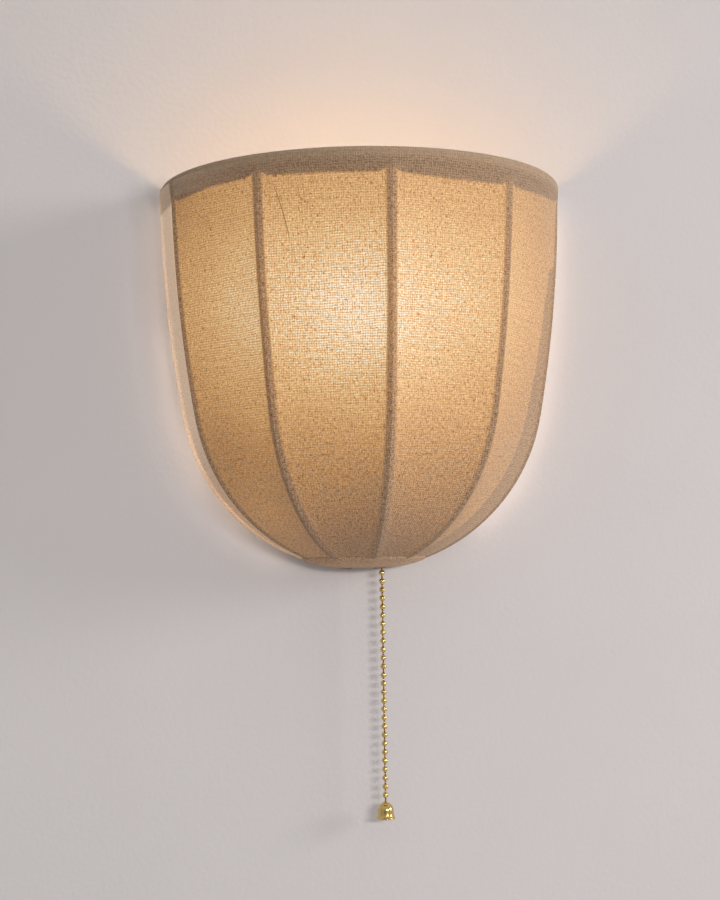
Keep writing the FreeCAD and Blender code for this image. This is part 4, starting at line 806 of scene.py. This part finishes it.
class WALL_LIGHT_OT_bead_chain(PieceOperator, Operator):
    """The brass bead chain in its three moving lengths"""
    bl_idname = "wall_light.bead_chain"
    bl_label = "Bead chain"

    def make(self, scene):
        settings = scene.wall_light_chain
        bead = settings.bead / MM
        knot = bead / 2 + 0.15
        # the knot bead hangs below the bell's wall of 0.8 mm
        gap, under = 0.05, BELL_TOP - 0.8
        runs = (("chain_top", "pull_chain", "chain_upper", DRUM_LEVEL - BEAD_PITCH / 2, BEADS_INSIDE,
                 DRUM_LEVEL, SWIVEL_LEVEL + knot),
                ("chain_hanging", "hanging_chain", "chain_lower", SWIVEL_LEVEL - BEAD_PITCH, BEADS_BELOW,
                 SWIVEL_LEVEL - knot, CHAIN_END),
                ("bell_knot", "hanging_chain", "bell_bead", under - bead / 2 - gap, 1, CHAIN_END - gap,
                 under - bead - gap))
        for name, body, replaced, first, count, top, foot in runs:
            add_turned(name, bead_profile(first, count, top, foot, bead), settings.segments, body, "brass",
                       replaced)
        ball = arc_profile((0, SWIVEL_LEVEL), bead / 2, 90, -90, 19)
        add_turned("turning_bead", ball, settings.segments, "swivel", "brass", "swivel_bead")


class WALL_LIGHT_OT_bell(PieceOperator, Operator):
    """The turned brass bell at the chain's end"""
    bl_idname = "wall_light.bell"
    bl_label = "Bell"

    def make(self, scene):
        top, foot = BELL_TOP, BELL_TOP - 9.3
        neck = [(0.46, top), (0.95, top), (1.15, top - 0.35), (1.55, top - 0.72)]
        skirt = [(4.27, top - 5.2), (4.32, top - 6.2), (4.42, top - 6.9)]
        outer = np.concatenate([neck, arc_profile((0, top - 4.68), 4.25, 63, 6, 15), skirt,
                                arc_profile((4.55, foot + 0.62), 0.56, 80, -90, 9)])
        inner = np.concatenate([[(4.25, foot + 0.25), (3.95, foot + 0.9), (3.62, foot + 2), (3.45, top - 5)],
                                arc_profile((0, top - 4.25), 3.45, 0, 80, 12)])
        profile = np.concatenate([outer, inner, outer[:1]])
        add_turned("bell", profile, 64, "hanging_chain", "brass", "chain_bell")


class WALL_LIGHT_OT_bulb(PieceOperator, Operator):
    """The globe bulb's blown glass and threaded cap"""
    bl_idname = "wall_light.bulb"
    bl_label = "Bulb"

    def make(self, scene):
        centre = (0.0, -LAMP_DEPTH)
        globe, wall, neck, overall, tip, tall, gap = 22.5, 0.8, 6.3, 78, 3, 20.0, 0.05
        foot = BULB_LEVEL + globe - overall + tip + tall + gap
        drop = BULB_LEVEL - foot

        def skin(radius, reach):
            """The globe down to where the straight neck leaves it, and the neck."""
            low = degrees(acos(radius / hypot(reach, drop)) - atan2(drop, reach))
            arc = arc_profile((0, BULB_LEVEL), radius, 90, low, 33)
            steps = np.linspace(0, 1, 12)[1:, None]
            return np.concatenate([arc, arc[-1] + (np.array([reach, foot]) - arc[-1]) * steps])

        profile = np.concatenate([skin(globe, neck), skin(globe - wall, neck - wall)[::-1]])
        add_turned("bulb_globe", profile, 72, "bulb", "clear_glass", "bulb_glass", centre)
        # the cap: a rolled thread that fades out at both ends, under a plain collar
        bare, thread, pitch, collar = 6.35, 0.5, 2.8, 6.3
        share = np.linspace(0, 1, 141)[:, None]
        turn = full_turn(48)
        phase = share * tall / pitch - turn / (2 * pi)
        fade = np.clip(share * 9, 0, 1) * np.clip((0.80 - share) * 9, 0, 1)
        radius = bare + thread * fade * (0.5 + 0.5 * np.cos(2 * pi * phase))
        radius[-4:] = collar
        middle = np.array([*centre, 0])
        cap = joined(radius * np.cos(turn), radius * np.sin(turn), foot - tall - gap + tall * share) + middle
        lid = cap[-1:] * np.array([0.9, 0.9, 1]) + middle * 0.1
        floor = cap[:1] * np.array([0.86, 0.86, 1]) + middle * 0.14
        closed = np.concatenate([floor * UP + middle, floor, cap, lid, lid * UP + middle])
        add_piece("bulb_screw_cap", [(closed, True)], body="bulb", slot="zinc_steel",
                  replaces=("bulb_cap",), merge=SAME_POINT)


class WALL_LIGHT_OT_loose_threads(PieceOperator, Operator):
    """Pulled threads that lie on the linen"""
    bl_idname = "wall_light.loose_threads"
    bl_label = "Loose threads"

    def make(self, scene):
        # panel, share across and run down at both ends, bow sideways and radius
        runs = ((-1, 0.115, 10.5, 0.235, 42.0, 0.012, 0.20), (-1, 0.235, 42.5, 0.28, 54.0, 0.004, 0.08),
                (-1, 0.30, 12.0, 0.335, 25.0, 0.004, 0.09), (-1, 0.345, 13.0, 0.375, 26.0, -0.003, 0.08),
                (-2, 0.42, 21.0, 0.47, 33.0, 0.004, 0.08), (0, 0.18, 60.0, 0.165, 82.0, 0.003, 0.07))
        count, around, above = 21, 6, 0.36
        s = np.linspace(0, 1, count)
        swell = np.sin(pi * s)
        grids = []
        for number, u0, v0, u1, v1, bow, thick in runs:
            lift = panel_lift(number)
            grid, normal, _ = panel_surface(number, u0 + (u1 - u0) * s + bow * swell, v0 + (v1 - v0) * s,
                                            lambda *where: lift(*where) + above)
            radius = np.repeat(thick * np.abs(swell)[:, None] ** 0.6, around, axis=1)
            radius[[0, -1]] = 0
            steps = np.arange(count)
            grids.append((tube_along(grid[steps, steps], normal[steps, steps], radius, around), True))
        # a single flax thread: matt, browner than the cloth, with a little light from behind
        thread = glowing("Pulled thread", 0.9, 0.35, 1.5, 2, "#8A6644", "#6E5036")
        add_piece("loose_threads", grids, slot="shade_cloth", finish=thread, merge=SAME_POINT / 2)


class WALL_LIGHT_OT_fittings(PieceOperator, Operator):
    """Finishes for the wires and fittings, whose solids stay as they are"""
    bl_idname = "wall_light.fittings"
    bl_label = "Fittings"

    def make(self, scene):
        for entry in frame["record"]["subparts"]:
            mesh = frame["nodes"][entry["node"]].data
            mesh.materials.clear()
            mesh.materials.append(finish_of(entry["material_slot"]))


class WALL_LIGHT_OT_stage(PieceOperator, Operator):
    """The wall, the floor, the lamps and the camera"""
    bl_idname = "wall_light.stage"
    bl_label = "Stage"

    def make(self, scene):
        settings = scene.wall_light_stage
        self.wall(settings)
        self.floor(settings)
        self.lamps(settings)
        self.room(scene, settings)
        self.camera(scene)

    def sheet(self, name, finish, *corners):
        mesh = bpy.data.meshes.new(name)
        mesh.from_pydata(corners, [], [tuple(range(len(corners)))])
        mesh.materials.append(finish)
        item = bpy.data.objects.new(name, mesh)
        bpy.context.scene.collection.objects.link(item)

    def wall(self, settings):
        # Emulsion paint on plaster: matt, with a roller's faint uneven grain.
        finish, tree, shader = material("Painted plaster", Roughness=0.95, Specular_IOR_Level=0.2)
        spot = surface_coordinates(tree)
        broad, fine = noise(tree, spot, 0.012, 3), noise(tree, spot, 0.35, 3)
        uneven = math_node(tree, "MULTIPLY", broad, 0.35)
        drive(tree, shader, Base_Color=mixed(tree, uneven, settings.wall, linear("#BDBBBC")))
        bump(tree, shader, fine, 0.45, 0.35)
        # Seen from behind, and for shadows, the wall isn't there, so that the light's back can be looked at.
        behind = node(tree, "NewGeometry").outputs["Backfacing"]
        ray = node(tree, "LightPath").outputs
        seen = math_node(tree, "MULTIPLY", behind, ray["Is Camera Ray"])
        cleared(tree, shader, math_node(tree, "MAXIMUM", seen, ray["Is Shadow Ray"]))
        wide, low, top = 1.6, FLOOR_LEVEL, 1.4
        self.sheet("wall", finish, (-wide, 0, low), (wide, 0, low), (wide, 0, top), (-wide, 0, top))

    def floor(self, settings):
        # Smooth pale screed: matt and even.
        finish, tree, shader = material("Pale screed", Roughness=0.85)
        uneven = noise(tree, surface_coordinates(tree), 0.01, 3)
        drive(tree, shader, Base_Color=mixed(tree, uneven, settings.floor, linear("#C9C3BF")))
        self.sheet("floor", finish, *((x, y, FLOOR_LEVEL) for x, y in ((-3, -3), (3, -3), (3, 3), (-3, 3))))

    def lamp(self, name, kind, place, towards, energy, colour, tilt=0.0, **values):
        light = bpy.data.lights.new(name, kind)
        light.energy, light.color = energy, colour[:3]
        for key, value in values.items():
            setattr(light, key, value)
        item = bpy.data.objects.new(name, light)
        way = (Vector(towards) - Vector(place)).to_track_quat("-Z", "Y")
        item.matrix_world = Matrix.Translation(place) @ way.to_matrix().to_4x4() @ Matrix.Rotation(tilt, 4, "Z")
        bpy.context.scene.collection.objects.link(item)

    def lamps(self, settings):
        daylight = linear("#FFF9F6")
        self.lamp("key", "AREA", (2.9, -1.05, 0.62), (0, -0.05, 0), settings.key, daylight,
                  shape="DISK", size=1.1)
        self.lamp("front", "AREA", (0.36, -1.3, 0.04), (0, 0, -0.08), settings.front, daylight,
                  shape="RECTANGLE", size=0.5, size_y=0.09)
        self.lamp("bulb_light", "POINT", (0, -LAMP_DEPTH * MM, BULB_LEVEL * MM), (0, -1, 0), settings.bulb,
                  settings.bulb_colour, shadow_soft_size=0.02)
        depth = -10.0
        for side, shares in LEAK_SHARE.items():
            for n, share in enumerate(shares):
                (low, high), (inner, outer) = LEAK_LEVELS[n:n + 2], LEAK_REACH[n:n + 2]
                place = Vector((side * (inner + outer) / 2, depth, (low + high) / 2)) * MM
                run = hypot(high - low, outer - inner) * MM
                self.lamp(f"leak_{side}_{n}", "AREA", place, place + Vector((0, 1, 0)),
                          settings.leak * run * share, linear("#FFE8D6"),
                          tilt=-side * atan2(outer - inner, high - low),
                          shape="RECTANGLE", size=0.002, size_y=run)

    def room(self, scene, settings):
        world = bpy.data.worlds.new("room")
        scene.world = world
        world.use_nodes = True
        tree = world.node_tree
        way = node(tree, "TexCoord").outputs["Generated"]
        height = node(tree, "SeparateXYZ", {"Vector": way}).outputs["Z"]
        # the room's dim side, behind the eye, which brass shows as its dark reflections
        aside = node(tree, "VectorMath", {0: way, 1: (-0.15, -0.80, -0.58)}, operation="DOT_PRODUCT")
        dim = soft_step(tree, aside.outputs["Value"], 0.66, 0.92)
        room = ramp(tree, math_node(tree, "MULTIPLY_ADD", height, 0.5, 0.5), (0.0, linear("#A8A3A2")),
                    (0.5, linear("#CFCCCC")), (1.0, linear("#EFEFF2")))
        room = mixed(tree, math_node(tree, "MULTIPLY", dim, 0.9), room, linear("#4A4440"))
        background = tree.nodes["Background"].inputs
        tree.links.new(room, background["Color"])
        background["Strength"].default_value = settings.fill

    def camera(self, scene):
        # Where the eye stands, in millimetres, and its turn right, its tilt up and its roll, in degrees.
        eye, yaw, tilt, roll = (-138.3, -919.5, -89.6), 8.55, 3.52, -0.89
        view = bpy.data.cameras.new("camera")
        view.sensor_fit = "VERTICAL"
        view.sensor_height = 36.0
        view.lens = 68.2
        view.clip_start = 0.01
        item = bpy.data.objects.new("camera", view)
        item.matrix_world = Matrix.Translation(Vector(eye) * MM)
        for angle, axis in ((-yaw, "Z"), (90 + tilt, "X"), (roll, "Z")):
            item.matrix_world = item.matrix_world @ Matrix.Rotation(radians(angle), 4, axis)
        scene.collection.objects.link(item)
        scene.camera = item
        scene.view_settings.view_transform = "Standard"


OPERATORS = (WALL_LIGHT_OT_fittings, WALL_LIGHT_OT_shade_panels, WALL_LIGHT_OT_rim_band,
             WALL_LIGHT_OT_wall_edges, WALL_LIGHT_OT_rib_sleeves, WALL_LIGHT_OT_pole_patch,
             WALL_LIGHT_OT_loose_threads, WALL_LIGHT_OT_bead_chain, WALL_LIGHT_OT_bell, WALL_LIGHT_OT_bulb,
             WALL_LIGHT_OT_stage)
SETTINGS = {"wall_light_shade": ShadeSettings, "wall_light_chain": ChainSettings,
            "wall_light_stage": StageSettings}


class WALL_LIGHT_PT_sidebar(Panel):
    """Lists the pieces and their settings"""
    bl_idname = "WALL_LIGHT_PT_sidebar"
    bl_label = "Wall light"
    bl_space_type = "VIEW_3D"
    bl_region_type = "UI"
    bl_category = "Wall Light"

    def draw(self, context):
        column = self.layout.column()
        for operator in OPERATORS:
            column.operator(operator.bl_idname)
        for name, group in SETTINGS.items():
            for key in group.__annotations__:
                column.prop(getattr(context.scene, name), key)


register_classes, unregister_classes = bpy.utils.register_classes_factory(
    (*SETTINGS.values(), *OPERATORS, WALL_LIGHT_PT_sidebar))


def register():
    register_classes()
    for name, group in SETTINGS.items():
        setattr(bpy.types.Scene, name, PointerProperty(type=group))


def unregister():
    for name in SETTINGS:
        delattr(bpy.types.Scene, name)
    unregister_classes()


def main():
    register()
    for operator in OPERATORS:
        getattr(bpy.ops.wall_light, operator.bl_idname.split(".")[1])()


if __name__ == "__main__":
    main()
